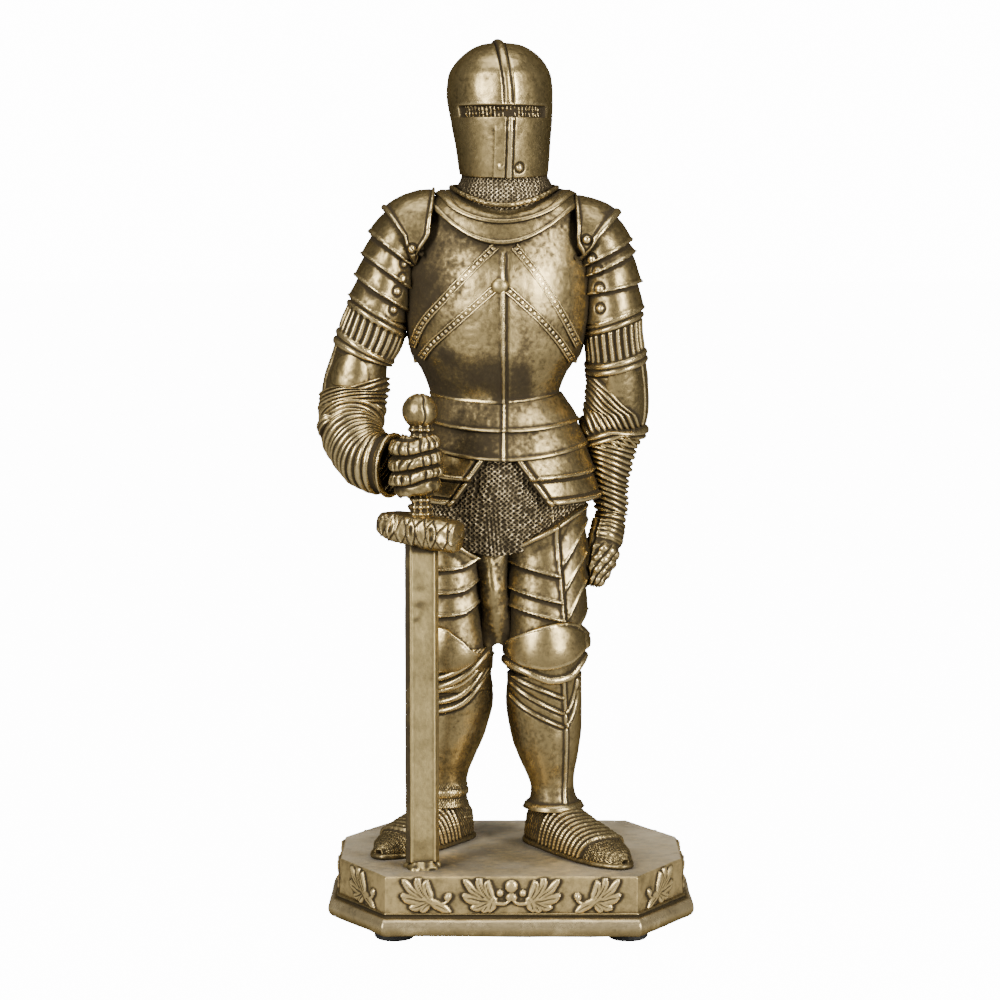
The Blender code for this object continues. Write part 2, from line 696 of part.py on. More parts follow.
def make_neck():
    """The mail under the helmet, and the corded ring that lies round it."""
    segment("mail_aventail", Skin(NECK), [220.3, 222, 225, 228, 231.5], DARK_BRASS, 28)
    curve = bpy.data.curves.new("neck_ring", "CURVE")
    curve.dimensions = "3D"
    curve.bevel_depth = 1.1 * MM
    curve.bevel_resolution = 2
    spline = curve.splines.new("POLY")
    count = 32
    spline.points.add(count - 1)
    for i, knot in enumerate(spline.points):
        turn = i * 360.0 / count
        x = -1.6 + 16.4 * math.sin(math.radians(turn))
        y = 3.6 - 15.4 * math.cos(math.radians(turn))
        z = ring_height(turn)
        knot.co = (x * MM, y * MM, z * MM, 1.0)
    spline.use_cyclic_u = True
    source = bpy.data.objects.new("neck_ring_curve", curve)
    bpy.context.scene.collection.objects.link(source)
    graph = bpy.context.evaluated_depsgraph_get()
    mesh = bpy.data.meshes.new_from_object(source.evaluated_get(graph))
    bpy.data.objects.remove(source)
    finish_object("neck_ring", mesh, BRASS)


# ---------------------------------------------------------------- helmet


SLOT = (248.4, 251.9)
SLOT_TURN = 12.0
SLOT_REACH = 62.0


def make_helmet():
    helmet = Skin(HELMET)
    visor = [231.8, 235, 239.5, 244, SLOT[0] - 2.0]
    segment("helmet_visor", helmet, visor, BRASS, 28)
    bowl = [SLOT[0] - 1.7, SLOT[0], SLOT[1], 256, 259, 262, 264.5, 267, 269.4, 271.0, 271.9]
    piece = segment("helmet_bowl", helmet, bowl, BRASS, 28)
    turns = np.linspace(SLOT_TURN - SLOT_REACH, SLOT_TURN + SLOT_REACH, 15)
    rows = []
    for off in (-2.2, 2.0):
        for z in SLOT:
            rows.append(helmet.point(turns, z, off))
    inner_low, inner_high, outer_low, outer_high = rows
    order = [inner_low, outer_low, outer_high, inner_high]
    points = np.stack(order, 1).reshape(-1, 3)
    faces = grid_faces(0, len(turns), 4, True)
    faces += [[0, 1, 2, 3], [len(points) - 1 - i for i in range(4)]]
    cut(piece, cutter("slot_cutter", points, faces))
    inside = np.linspace(SLOT_TURN - SLOT_REACH + 2.5, SLOT_TURN + SLOT_REACH - 2.5, 13)
    shell("eye_grille", helmet, inside, lambda t: SLOT[0] + GAP, lambda t: SLOT[1] - GAP, (-1.7, -0.6), DARK_BRASS, 2)
    make_comb(helmet)


def make_comb(helmet):
    """A raised band over the top of the helmet, from above the eye slot to the back."""
    climb = [(SLOT_TURN, z) for z in (253.4, 257, 261, 264.5, 267.5, 270.0, 271.5)]
    fall = [(SLOT_TURN + 180.0, z) for z in (271.5, 270.0, 267.5, 264.5, 261, 256, 250)]
    ring_rows = []
    half = 1.1
    across = np.array([math.cos(math.radians(SLOT_TURN)), math.sin(math.radians(SLOT_TURN)), 0.0]) * half
    for turn, z in climb + fall:
        for off in (0.3, 1.3):
            up = np.array([0.0, 0.0, 0.35 * max(0.0, z - 266.0) / 5.0])
            middle = helmet.point(turn, z, off) + up
            ring_rows.append((middle - across, middle + across))
    points = []
    for i in range(0, len(ring_rows), 2):
        low, high = ring_rows[i], ring_rows[i + 1]
        points += [low[0], low[1], high[1], high[0]]
    count = len(points) // 4
    faces = grid_faces(0, count, 4, True)
    faces += [[3, 2, 1, 0], [len(points) - 4 + i for i in range(4)]]
    finish_object("helmet_comb", mesh_from("helmet_comb", points, faces), BRASS)


# ---------------------------------------------------------------- arms


def torso_clearance():
    """A cutter that keeps the shoulders clear of the plates on the torso."""
    torso = Skin(TORSO)
    turns = around(40)
    heights = [186, 192, 198, 203, 207, 211, 215, 219, 223, 227.9]
    reach = [3.0, 3.0, 3.0, 3.0, 3.0, 3.4, 4.8, 5.2, 5.2, 5.2]
    points = np.concatenate([torso.point(turns, z, off) for z, off in zip(heights, reach)])
    faces = grid_faces(0, len(heights), 40, True)
    faces += [list(range(40))[::-1], list(range(len(points) - 40, len(points)))]
    return cutter("torso_clearance", points, faces)


def make_arm(side, stations, breaks, clearance):
    """The solid lengths of one arm, parted at breaks by the usual gap."""
    arm = Skin(stations)
    names = ["vambrace", "elbow_wraps", "upper_cannon", "arm_band", "shoulder_lames", "pauldron"]
    swells = [0.0, 0.5, 0.0, 0.6, 0.4, 0.0]
    for name, swell, low, high in zip(names, swells, breaks[:-1], breaks[1:]):
        count = max(3, int(round((high - low) / 4.0)))
        places = np.linspace(low + GAP / 2, high - GAP / 2, count)
        bulge = [swell * math.sin(math.pi * (i + 0.5) / count) for i in range(count)]
        piece = segment(name + "_" + side, arm, places, BRASS, 20, bulge)
        if name in ("shoulder_lames", "pauldron"):
            cut(piece, clearance)


def make_arms():
    clearance = torso_clearance()
    make_arm("right", RIGHT_ARM, [0.0, 24.0, 40.0, 53.0, 67.0, 88.0, 107.5], clearance)
    make_arm("left", LEFT_ARM, [0.0, 23.0, 37.0, 48.0, 64.5, 84.0, 101.5], clearance)
    hand = Skin(LEFT_HAND)
    segment("gauntlet_left", hand, [0, 1.5, 4, 8, 12, 16, 20.6], DARK_BRASS, 16)
    make_fist()


def make_fist():
    """The right hand, closed round the grip, with a clear hole for it."""
    middle = np.array([-28.4, -27.6, 144.2])
    levels = [(-8.4, 0.72), (-7.2, 0.92), (-3.0, 1.0), (3.0, 1.0), (7.2, 0.92), (8.4, 0.72)]
    angles = np.radians(np.arange(20) * 18.0)
    rings = []
    for height, size in levels:
        x = 6.5 * size * np.sign(np.cos(angles)) * np.abs(np.cos(angles)) ** 0.7
        y = 7.2 * size * np.sign(np.sin(angles)) * np.abs(np.sin(angles)) ** 0.7
        rings.append(middle + np.stack([x, y, np.full(20, height)], -1))
    fist = stacked_rings("gauntlet_right", rings, BRASS)
    around_grip = np.radians(np.arange(14) * 360.0 / 14)
    hole = GRIP_RADIUS + GAP
    points = []
    for z in (POMMEL_HEIGHT - 30.0, POMMEL_HEIGHT):
        for a in around_grip:
            points.append((SWORD_X + hole * math.cos(a), SWORD_Y + hole * math.sin(a), z))
    faces = grid_faces(0, 2, 14, True)
    faces += [list(range(14))[::-1], list(range(14, 28))]
    cut(fist, cutter("grip_cutter", points, faces))


empty_scene()
make_base()
make_sword()
make_legs()
make_hips()
make_torso()
make_neck()
make_helmet()
make_arms()
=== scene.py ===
"""The looks of the knight statuette: armour, mail, cords, a sword and a carved base, cast in antique brass.

Lengths are in millimetres in the figure's own space, whose centre is the middle of the base, and become
metres in the frame when a piece is made. +X is the figure's left, -Y its front and +Z up. A "turn" is the
angle round a body or limb in degrees: 0 faces front, 90 the figure's left, 180 the back, -90 its right.
"""

import math

import bpy
import numpy as np
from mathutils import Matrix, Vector


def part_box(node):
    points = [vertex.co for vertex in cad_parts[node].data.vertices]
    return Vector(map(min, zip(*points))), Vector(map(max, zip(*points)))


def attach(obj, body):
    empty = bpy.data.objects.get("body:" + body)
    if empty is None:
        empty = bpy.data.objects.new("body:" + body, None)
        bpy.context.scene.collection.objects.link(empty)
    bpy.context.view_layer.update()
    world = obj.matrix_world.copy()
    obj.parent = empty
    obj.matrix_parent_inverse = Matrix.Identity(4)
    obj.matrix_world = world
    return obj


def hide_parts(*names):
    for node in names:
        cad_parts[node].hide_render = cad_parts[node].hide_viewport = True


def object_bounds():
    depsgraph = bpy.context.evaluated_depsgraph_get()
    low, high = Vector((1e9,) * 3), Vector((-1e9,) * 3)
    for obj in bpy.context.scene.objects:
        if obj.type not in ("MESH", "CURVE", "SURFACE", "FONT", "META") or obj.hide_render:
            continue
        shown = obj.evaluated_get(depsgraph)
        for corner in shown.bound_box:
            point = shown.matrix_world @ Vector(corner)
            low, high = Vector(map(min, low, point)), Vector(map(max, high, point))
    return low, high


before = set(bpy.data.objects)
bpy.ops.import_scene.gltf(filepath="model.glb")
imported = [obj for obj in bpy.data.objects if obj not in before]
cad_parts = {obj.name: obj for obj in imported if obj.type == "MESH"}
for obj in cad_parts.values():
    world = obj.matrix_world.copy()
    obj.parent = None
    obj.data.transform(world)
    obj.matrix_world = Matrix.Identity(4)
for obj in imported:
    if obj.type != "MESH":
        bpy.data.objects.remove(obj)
CAD_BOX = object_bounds()
PLINTH_LOW, PLINTH_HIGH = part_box("base_plinth")
ORIGIN = np.array([(PLINTH_LOW.x + PLINTH_HIGH.x) / 2, (PLINTH_LOW.y + PLINTH_HIGH.y) / 2, CAD_BOX[0].z])
MM = 0.001

FINE = 0.34  # spacing of surface points on plain armour
MAIL_FINE = 0.25
WEAR_REACH = 0.6  # how far round a point its height is compared, to find edges and hollows
WEAR_DEPTH = 0.19
WASH_AND_SHADE = (0.022, 0.016, 0.009)  # the black-brown of the wash, also used for painted shade
EDGE_ON_TINT = (0.42, 0.36, 0.27)  # how the brass dulls where it is seen edge-on
WASH_AND_SHADE_REACH = 2.6  # how near other metal must be to darken the colour: partly wash sheltered from rubbing, partly painted shade between parts
PAINTED_SHEEN_COLOUR = (0.66, 0.60, 0.485)  # the whitened colour of a painted sheen: painted reflection and painted highlight
DEGREES = 57.3  # in a radian

# ---------------------------------------------------------------- surfaces


def smoothstep(low, high, x):
    t = np.clip((x - low) / (high - low), 0.0, 1.0)
    return t * t * (3 - 2 * t)


def bead(distance, radius, height):
    """A half-round rib or ball, from the distance to its middle."""
    return height * np.sqrt(np.clip(1.0 - (distance / radius) ** 2, 0.0, None))


def hill(distance, width):
    """1 at a distance of 0, falling away like a bell."""
    return np.exp(-((distance / width) ** 2))


def dent(distance, width, depth):
    return -depth * hill(distance, width)


def row_gap(place, pitch):
    """Distance from the nearest line of a row of lines a pitch apart."""
    return np.abs((place / pitch) % 1.0 - 0.5) * pitch


def run_of(path):
    """The distance along a path to each of its points."""
    return np.concatenate([[0], np.cumsum(np.linalg.norm(np.diff(path, axis=0), axis=1))])


def lattice(cell, seed):
    mixed = cell[..., 0] * 73856093 ^ cell[..., 1] * 19349663 ^ cell[..., 2] * 83492791 ^ (seed * 2654435)
    mixed = (mixed ^ (mixed >> 13)) * 1274126177
    return ((mixed ^ (mixed >> 16)) & 0xFFFF) / 65535.0


def noise(points, size, seed=0):
    """Smooth unevenness from -1 to 1, with lumps about size across."""
    place = points / size
    cell = np.floor(place).astype(np.int64)
    share = place - cell
    share = share * share * (3 - 2 * share)
    total = np.zeros(points.shape[:-1])
    for corner in np.ndindex(2, 2, 2):
        weight = np.ones(points.shape[:-1])
        for axis in range(3):
            weight = weight * (share[..., axis] if corner[axis] else 1 - share[..., axis])
        total += weight * lattice(cell + np.array(corner), seed)
    return total * 2 - 1


def smooth_value(stations, values, at):
    """A smooth curve through values at stations, with no overshoot between them."""
    x = np.asarray(stations, float)
    y = np.asarray(values, float)
    step = np.diff(x)
    slope = np.diff(y) / step
    tangent = np.zeros(len(x))
    tangent[0] = slope[0]
    tangent[-1] = slope[-1]
    for i in range(1, len(x) - 1):
        if slope[i - 1] * slope[i] > 0:
            tangent[i] = 2 * slope[i - 1] * slope[i] / (slope[i - 1] + slope[i])
    at = np.clip(np.asarray(at, float), x[0], x[-1])
    i = np.clip(np.searchsorted(x, at, side="right") - 1, 0, len(x) - 2)
    t = (at - x[i]) / step[i]
    rise = y[i] * (2 * t**3 - 3 * t**2 + 1) + y[i + 1] * (3 * t**2 - 2 * t**3)
    bend = step[i] * (tangent[i] * (t**3 - 2 * t**2 + t) + tangent[i + 1] * (t**3 - t**2))
    return rise + bend


class Skin:
    """A body or limb surface: oval rings along a centre line, read at any turn and station."""

    SAMPLES = 400

    def __init__(self, stations):
        upright = len(stations[0]) == 5  # its stations are heights, and its rings are level
        if upright:
            stations = [(z, x, y, z, side, front) for z, x, y, side, front in stations]
        table = np.array(stations, float)
        self.at = np.linspace(table[0, 0], table[-1, 0], self.SAMPLES)
        self.line = np.stack([smooth_value(table[:, 0], table[:, i], self.at) for i in (1, 2, 3)], -1)
        self.radii = np.stack([smooth_value(table[:, 0], table[:, i], self.at) for i in (4, 5)], -1)
        along = np.gradient(self.line, self.at, axis=0)
        along /= np.linalg.norm(along, axis=1)[:, None]
        if upright:
            along[:] = (0.0, 0.0, 1.0)
        self.front = np.zeros_like(self.line)
        facing = np.array([0.0, -1.0, 0.0])
        for i in range(len(along) - 1, -1, -1):  # a limb's front is known at its upper end
            facing = facing - along[i] * (facing @ along[i])
            facing = facing / np.linalg.norm(facing)
            self.front[i] = facing
        self.side = np.cross(along, self.front)

    def read(self, table, at):
        columns = [np.interp(at, self.at, table[:, i]) for i in range(table.shape[1])]
        return np.stack(columns, -1)

    def point(self, turn, at, out=0.0):
        turn, at, out = np.broadcast_arrays(np.radians(turn), np.asarray(at, float), out)
        radii = self.read(self.radii, at)
        side = (radii[..., 0] + out) * np.sin(turn)
        front = (radii[..., 1] + out) * np.cos(turn)
        across = side[..., None] * self.read(self.side, at)
        forward = front[..., None] * self.read(self.front, at)
        return self.read(self.line, at) + across + forward

    def girth(self, at):
        radii = self.read(self.radii, at)
        return radii.mean(-1)


def outward_of(points, closed):
    """Unit directions out of a surface whose columns turn left to right and whose rows go up."""
    if closed:
        across = np.roll(points, -1, 1) - np.roll(points, 1, 1)
    else:
        across = np.gradient(points, axis=1)
    up = np.gradient(points, axis=0)
    out = np.cross(across, up)
    return out / np.maximum(np.linalg.norm(out, axis=-1), 1e-9)[..., None]


def blurred(values, reach, closed):
    """The mean of values over reach cells each way, twice over."""
    rows, columns = reach
    for _ in range(2):
        for axis, n, wraps in ((0, rows, False), (1, columns, closed)):
            if n < 1:
                continue
            pad = [(0, 0), (0, 0)]
            pad[axis] = (n, n)
            wide = np.pad(values, pad, mode="wrap" if wraps else "edge")
            total = np.cumsum(wide, axis=axis)
            zero = np.zeros_like(np.take(total, [0], axis=axis))
            total = np.concatenate([zero, total], axis=axis)
            size = 2 * n + 1
            length = values.shape[axis]
            ahead = np.take(total, np.arange(size, size + length), axis=axis)
            behind = np.take(total, np.arange(length), axis=axis)
            values = (ahead - behind) / size
    return values


class Relief:
    """A grid of surface points with a height, and a grime with painted shade, to model on it, before it
    becomes a piece.
    """

    def __init__(self, points, closed):
        self.points = points
        self.closed = closed
        self.outward = outward_of(points, closed)
        self.height = np.zeros(points.shape[:2])
        self.grime_and_shade = np.zeros(points.shape[:2])
        self.painted_sheen = np.zeros(points.shape[:2])

    @property
    def x(self):
        return self.points[..., 0]

    @property
    def y(self):
        return self.points[..., 1]

    @property
    def z(self):
        return self.points[..., 2]

    def over(self, values):
        return np.broadcast_to(values, self.height.shape)

    def facing(self):
        """1 where the surface faces front, fading to 0 at its sides."""
        return smoothstep(0.02, 0.3, -self.outward[..., 1])

    def cells(self, length):
        """How many rows and columns a length spans."""
        down = np.linalg.norm(np.diff(self.points, axis=0), axis=-1)
        across = np.linalg.norm(np.diff(self.points, axis=1), axis=-1)
        return [int(round(length / max(gap.mean(), 1e-3))) for gap in (down, across)]

    def near(self, x, z):
        """Distances in a straight line from the point of the front at x and z."""
        front = self.outward[..., 1] < 0.1
        gap = (self.x - x) ** 2 + (self.z - z) ** 2 + np.where(front, 0.0, 1e6)
        spot = self.points[np.unravel_index(np.argmin(gap), gap.shape)]
        return np.linalg.norm(self.points - spot, axis=-1)

    def rivet(self, x, z, radius=1.25):
        gap = self.near(x, z)
        self.height += bead(gap, radius, 0.75 * radius) + dent(gap - radius * 1.25, 0.3, 0.3)

    def rib(self, route, radius, height, shadow=0.25):
        """A raised line on the front, along a route of (x, z) points, with a groove beside it."""
        gap = distance_to(self.x, self.z, route)
        rise = bead(gap, radius, height) + dent(gap - radius * 1.2, 0.35, shadow)
        self.height += rise * self.facing()

    def weather(self, rough=0.07, seed=0):
        self.height += rough * noise(self.points, 3.6, seed) + 0.4 * rough * noise(self.points, 1.1, seed + 1)


def distance_to(x, z, route):
    """Distance in the upright plane from each point to a smooth route through (x, z) points."""
    route = np.array(route, float)
    if len(route) > 2:
        length = run_of(route)
        share = np.linspace(0, length[-1], 5 * len(route))
        route = np.stack([smooth_value(length, route[:, i], share) for i in (0, 1)], -1)
    nearest = np.full(np.shape(x), 1e9)
    for (x0, z0), (x1, z1) in zip(route[:-1], route[1:]):
        dx, dz = x1 - x0, z1 - z0
        share = np.clip(((x - x0) * dx + (z - z0) * dz) / (dx * dx + dz * dz), 0.0, 1.0)
        nearest = np.minimum(nearest, np.hypot(x - x0 - share * dx, z - z0 - share * dz))
    return nearest


def line_at(x, route):
    """The height of a line through (x, z) points, held level past its ends."""
    route = np.array(sorted(route), float)
    return smooth_value(route[:, 0], route[:, 1], x)


def shingles(height_above, edges, thickness, rim=0.35):
    """Overlapping lames: each is thickest at its lower edge, where a thin rim ends it.

    edges are the heights of the lower edges, top one first, as arrays or numbers.
    """
    total = np.zeros_like(height_above)
    edges = list(edges)
    for upper, edge in zip([None] + edges[:-1], edges):
        above = height_above - edge
        span = (upper - edge) if upper is not None else 8.0
        inside = smoothstep(-0.12, 0.12, above)
        if upper is not None:
            inside = inside * (1 - smoothstep(-0.12, 0.12, height_above - upper))
        rise = thickness * (1 - np.clip(above / span, 0, 1)) + bead(above - 0.4, 0.5, rim)
        total += inside * rise
        total += dent(above + 0.15, 0.2, 0.15)
    return total


def mail(along, up, pitch=1.35, height=0.42):
    """Rows of small linked rings, seen as staggered loops."""
    total = np.zeros_like(along)
    flat = np.stack([along, up, np.zeros_like(up)], -1)
    along = along + 0.4 * noise(flat, 3.1, 3)
    up = up + 0.4 * noise(flat, 3.7, 4)
    for shift_u, shift_v in ((0.0, 0.0), (0.5, 0.5)):
        u = (along / pitch + shift_u) % 1.0 - 0.5
        v = (up / (pitch * 0.95) + shift_v) % 1.0 - 0.5
        radius = np.hypot(u, v * 0.9)
        lean = 0.75 + 0.5 * u * (1 if shift_u else -1)
        total = np.maximum(total, lean * hill(radius - 0.34, 0.15))
    return height * total * (1.0 + 0.5 * noise(flat, 1.7, 5))


# ---------------------------------------------------------------- material


def new_node(tree, kind, **inputs):
    node = tree.nodes.new(kind)
    for name, value in inputs.items():
        socket = node.inputs[name.replace("_", " ")]
        if isinstance(value, bpy.types.NodeSocket):
            tree.links.new(value, socket)
        else:
            socket.default_value = value
    return node


def ramp_node(tree, level, stops):
    """The colour, or the plain number, that stops of (place, value) give to a level."""
    node = new_node(tree, "ShaderNodeValToRGB", Fac=level)
    elements = node.color_ramp.elements
    while len(elements) < len(stops):
        elements.new(0.5)
    for element, (place, value) in zip(elements, stops):
        element.position = place
        element.color = (*value, 1.0) if isinstance(value, tuple) else (value, value, value, 1.0)
    return node.outputs["Color"]


def math_node(tree, operation, a, b, clamp=False):
    node = tree.nodes.new("ShaderNodeMath")
    node.operation = operation
    node.use_clamp = clamp
    for socket, value in zip(node.inputs, (a, b)):
        if isinstance(value, (int, float)):
            socket.default_value = value
        else:
            tree.links.new(value, socket)
    return node.outputs[0]


def start_material(name):
    """A new material, its node tree and its shader."""
    material = bpy.data.materials.new(name)
    material.use_nodes = True
    return material, material.node_tree, material.node_tree.nodes["Principled BSDF"]


def cloud(tree, place, scale, detail, rough=0.6):
    """A patchy grey noise. Its scale is the number of patches in a metre."""
    inputs = {"Scale": scale, "Detail": detail, "Roughness": rough, "Vector": place}
    return new_node(tree, "ShaderNodeTexNoise", **inputs).outputs["Fac"]


def antique_brass(name, body, edge, roughness=0.33, mottle=0.34, speck=0.3, shade=0.5, metallic=0.95):
    """Brass with black wash left in its hollows and rubbed bright on its edges.

    The mesh attribute "wear" is 0 in a hollow, 0.5 on flat metal and 1 on an edge; "grime_and_shade" adds
    wash, both for stains and for painted shade, and "painted_sheen" whitens, as a painted reflection and
    highlight.
    """
    material, tree, shader = start_material(name)
    shader.inputs["Specular Tint"].default_value = (*EDGE_ON_TINT, 1.0)
    link = tree.links.new
    place = tree.nodes.new("ShaderNodeTexCoord").outputs["Object"]

    def attribute(label):
        node = tree.nodes.new("ShaderNodeAttribute")
        node.attribute_name = label
        return node.outputs["Fac"]

    def combine(operation, a, b, clamp=False):
        return math_node(tree, operation, a, b, clamp)

    def about(value, middle, amount):
        return combine("MULTIPLY", combine("SUBTRACT", value, middle), amount)

    wear, grime_and_shade, painted_sheen = attribute("wear"), attribute("grime_and_shade"), attribute("painted_sheen")
    broad = cloud(tree, place, 120.0, 6.0, 0.65)
    fine = cloud(tree, place, 900.0, 4.0, 0.7)
    pits = cloud(tree, place, 2600.0, 2.0)
    # Painted shade: near other metal the colour darkens, partly as wash kept from rubbing, partly as shade
    # between parts.
    occlusion = new_node(tree, "ShaderNodeAmbientOcclusion", Distance=WASH_AND_SHADE_REACH * MM)
    occlusion.samples = 8
    wash_and_shade_near_metal = combine("SUBTRACT", 1.0, occlusion.outputs["AO"], True)

    # The level runs from 0, where all is wash and painted shade, to 1, where all is rubbed metal.
    level = combine("ADD", wear, about(broad, 0.5, mottle))
    level = combine("ADD", level, about(fine, 0.5, speck))
    level = combine("SUBTRACT", level, combine("MULTIPLY", wash_and_shade_near_metal, shade))
    blotch = combine("MULTIPLY", grime_and_shade, about(broad, 0.18, 1.5))
    level = combine("SUBTRACT", level, blotch, True)

    def wash_and_shade_colour(share):
        """The body's colour under wash and painted shade: a share of 1 is bare, and more is rubbed bright."""
        return tuple(share * c + (1 - min(share, 1)) * w for c, w in zip(body, WASH_AND_SHADE))

    shares = [(0.0, 0.02), (0.14, 0.05), (0.28, 0.2), (0.41, 0.62), (0.52, 0.98), (0.72, 1.16)]
    color = ramp_node(tree, level, [(at, wash_and_shade_colour(share)) for at, share in shares] + [(0.97, edge)])
    # Painted sheen: whitens the colour where a painted reflection and highlight lie.
    painted_sheen_mix = tree.nodes.new("ShaderNodeMix")
    painted_sheen_mix.data_type = "RGBA"
    link(combine("MULTIPLY", painted_sheen, about(broad, -0.15, 1.0), True), painted_sheen_mix.inputs["Factor"])
    link(color, painted_sheen_mix.inputs["A"])
    painted_sheen_mix.inputs["B"].default_value = (*PAINTED_SHEEN_COLOUR, 1.0)
    link(painted_sheen_mix.outputs["Result"], shader.inputs["Base Color"])

    gloss = ramp_node(tree, level, [(0.1, 0.75), (0.42, roughness + 0.05), (0.9, roughness - 0.05)])
    link(combine("ADD", gloss, about(fine, 0.5, 0.3), True), shader.inputs["Roughness"])
    metal = ramp_node(tree, level, [(0.08, 0.2), (0.36, metallic)])
    bare = combine("SUBTRACT", 1.0, combine("MULTIPLY", painted_sheen, 0.8), True)
    link(combine("MULTIPLY", metal, bare), shader.inputs["Metallic"])
    grain = combine("ADD", fine, combine("MULTIPLY", pits, 0.35))
    bump = new_node(tree, "ShaderNodeBump", Strength=0.35, Distance=0.00014, Height=grain)
    link(bump.outputs["Normal"], shader.inputs["Normal"])
    return material


def rubber_material():
    material, tree, shader = start_material("black_rubber")
    place = tree.nodes.new("ShaderNodeTexCoord").outputs["Object"]
    grain = cloud(tree, place, 1800.0, 3.0, 0.5)
    color = ramp_node(tree, grain, [(0.3, (0.006, 0.006, 0.006)), (0.7, (0.018, 0.018, 0.017))])
    tree.links.new(color, shader.inputs["Base Color"])
    gloss = ramp_node(tree, grain, [(0.2, 0.55), (0.8, 0.75)])
    tree.links.new(gloss, shader.inputs["Roughness"])
    bump = new_node(tree, "ShaderNodeBump", Strength=0.3, Distance=0.0001, Height=grain)
    tree.links.new(bump.outputs["Normal"], shader.inputs["Normal"])
    return material


ARMOUR = antique_brass("antique_brass", (0.365, 0.275, 0.124), (0.70, 0.545, 0.27), 0.3, 0.85, 0.5)
MAIL = antique_brass("antique_brass_mail", (0.15, 0.118, 0.068), (0.68, 0.55, 0.33), 0.38, 0.5)
BLADE = antique_brass("satin_brass", (0.50, 0.385, 0.172), (0.62, 0.50, 0.28), 0.36, 0.14, 0.12)
STONE = antique_brass(
    "worn_base_brass", (0.52, 0.39, 0.175), (0.70, 0.55, 0.28), 0.34, 0.35, 0.3, metallic=0.75
)
RUBBER = rubber_material()


# ---------------------------------------------------------------- pieces


def make_piece(name, points, faces, worn, material):
    """Puts a mesh in the scene from points in millimetres, riding on the statuette's one body."""
    mesh = bpy.data.meshes.new(name + "_cast")
    world = points.reshape(-1, 3) * MM + ORIGIN
    mesh.vertices.add(len(world))
    mesh.vertices.foreach_set("co", world.astype(np.float32).ravel())
    mesh.loops.add(faces.size)
    mesh.loops.foreach_set("vertex_index", faces.astype(np.int32).ravel())
    mesh.polygons.add(len(faces))
    mesh.polygons.foreach_set("loop_start", np.arange(0, faces.size, 4, dtype=np.int32))
    mesh.update(calc_edges=True)
    for label, values in worn.items():
        layer = mesh.attributes.new(label, "FLOAT", "POINT")
        layer.data.foreach_set("value", np.asarray(values, np.float32).ravel())
    mesh.shade_smooth()
    mesh.materials.append(material)
    piece = bpy.data.objects.new(name + "_cast", mesh)
    bpy.context.scene.collection.objects.link(piece)
    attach(piece, "root")
    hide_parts(name)


def quads(rows, columns, closed):
    """Corner indices of the quads of a grid laid out row by row."""
    r = np.arange(rows - 1)[:, None]
    c = np.arange(columns if closed else columns - 1)[None, :]
    n = (c + 1) % columns
    corners = [r * columns + c, r * columns + n, (r + 1) * columns + n, (r + 1) * columns + c]
    return np.stack([np.broadcast_to(k, (rows - 1, c.shape[1])) for k in corners], -1).reshape(-1, 4)


def cast(name, relief, material=ARMOUR, thickness=1.8):
    """Turns a relief into the piece of a CAD node, folding its open edges in by the metal's thickness."""
    reach = relief.cells(WEAR_REACH)
    mean = blurred(relief.height, reach, relief.closed)
    broad = blurred(relief.height, [3 * n for n in reach], relief.closed)
    wear = 0.5 + (relief.height - mean) / (2 * WEAR_DEPTH) + (relief.height - broad) / 6.0
    stains = noise(relief.points, 9.0, 7) + 0.4 * noise(relief.points, 3.0, 8)
    grime_and_shade = relief.grime_and_shade + 0.3 * np.clip(stains, 0, 1)
    worn = {"wear": np.clip(wear, 0.0, 1.0), "grime_and_shade": grime_and_shade, "painted_sheen": relief.painted_sheen}
    points = relief.points + relief.outward * relief.height[..., None]
    out = relief.outward
    for axis in (0,) if relief.closed else (0, 1):
        ends = []
        for last in (False, True):
            index = [-1 if last else 0]
            edge = np.take(points, index, axis)
            way = np.take(out, index, axis)
            fold = [edge - way * 0.3, edge - way * thickness]
            ends.append(fold if last else fold[::-1])
        points = np.concatenate([*ends[0], points, *ends[1]], axis)
        pad = [(0, 0), (0, 0)]
        pad[axis] = (2, 2)
        worn = {label: np.pad(values, pad, mode="edge") for label, values in worn.items()}
        out = np.pad(out, pad + [(0, 0)], mode="edge")
    make_piece(name, points, quads(*points.shape[:2], relief.closed), worn, material)


def round_turns(radius, spacing=FINE):
    """The turns of a closed band's columns."""
    columns = int(2 * math.pi * radius / spacing)
    return -180.0 + np.arange(columns) * 360.0 / columns


def ring_relief(skin, low, high, out=0.0, spacing=FINE):
    """A closed band round a skin. along is the distance round it from the front."""
    radius = skin.girth(np.array([(low + high) / 2]))[0] + out
    turn = round_turns(radius, spacing)
    rows = max(4, int((high - low) / spacing) + 1)
    at = np.linspace(low, high, rows)[:, None]
    relief = Relief(skin.point(turn[None, :], at, out), True)
    relief.turn, relief.at = relief.over(turn), relief.over(at)
    relief.along = np.radians(relief.turn) * radius
    return relief


def edged(turn, low, high, rows):
    """Stations of a band whose edges are functions of the turn: (stations, lower edge, upper edge)."""
    bottom = np.array([low(t) for t in turn])
    top = np.array([high(t) for t in turn])
    share = np.linspace(0, 1, rows)[:, None]
    return bottom * (1 - share) + top * share, bottom, top


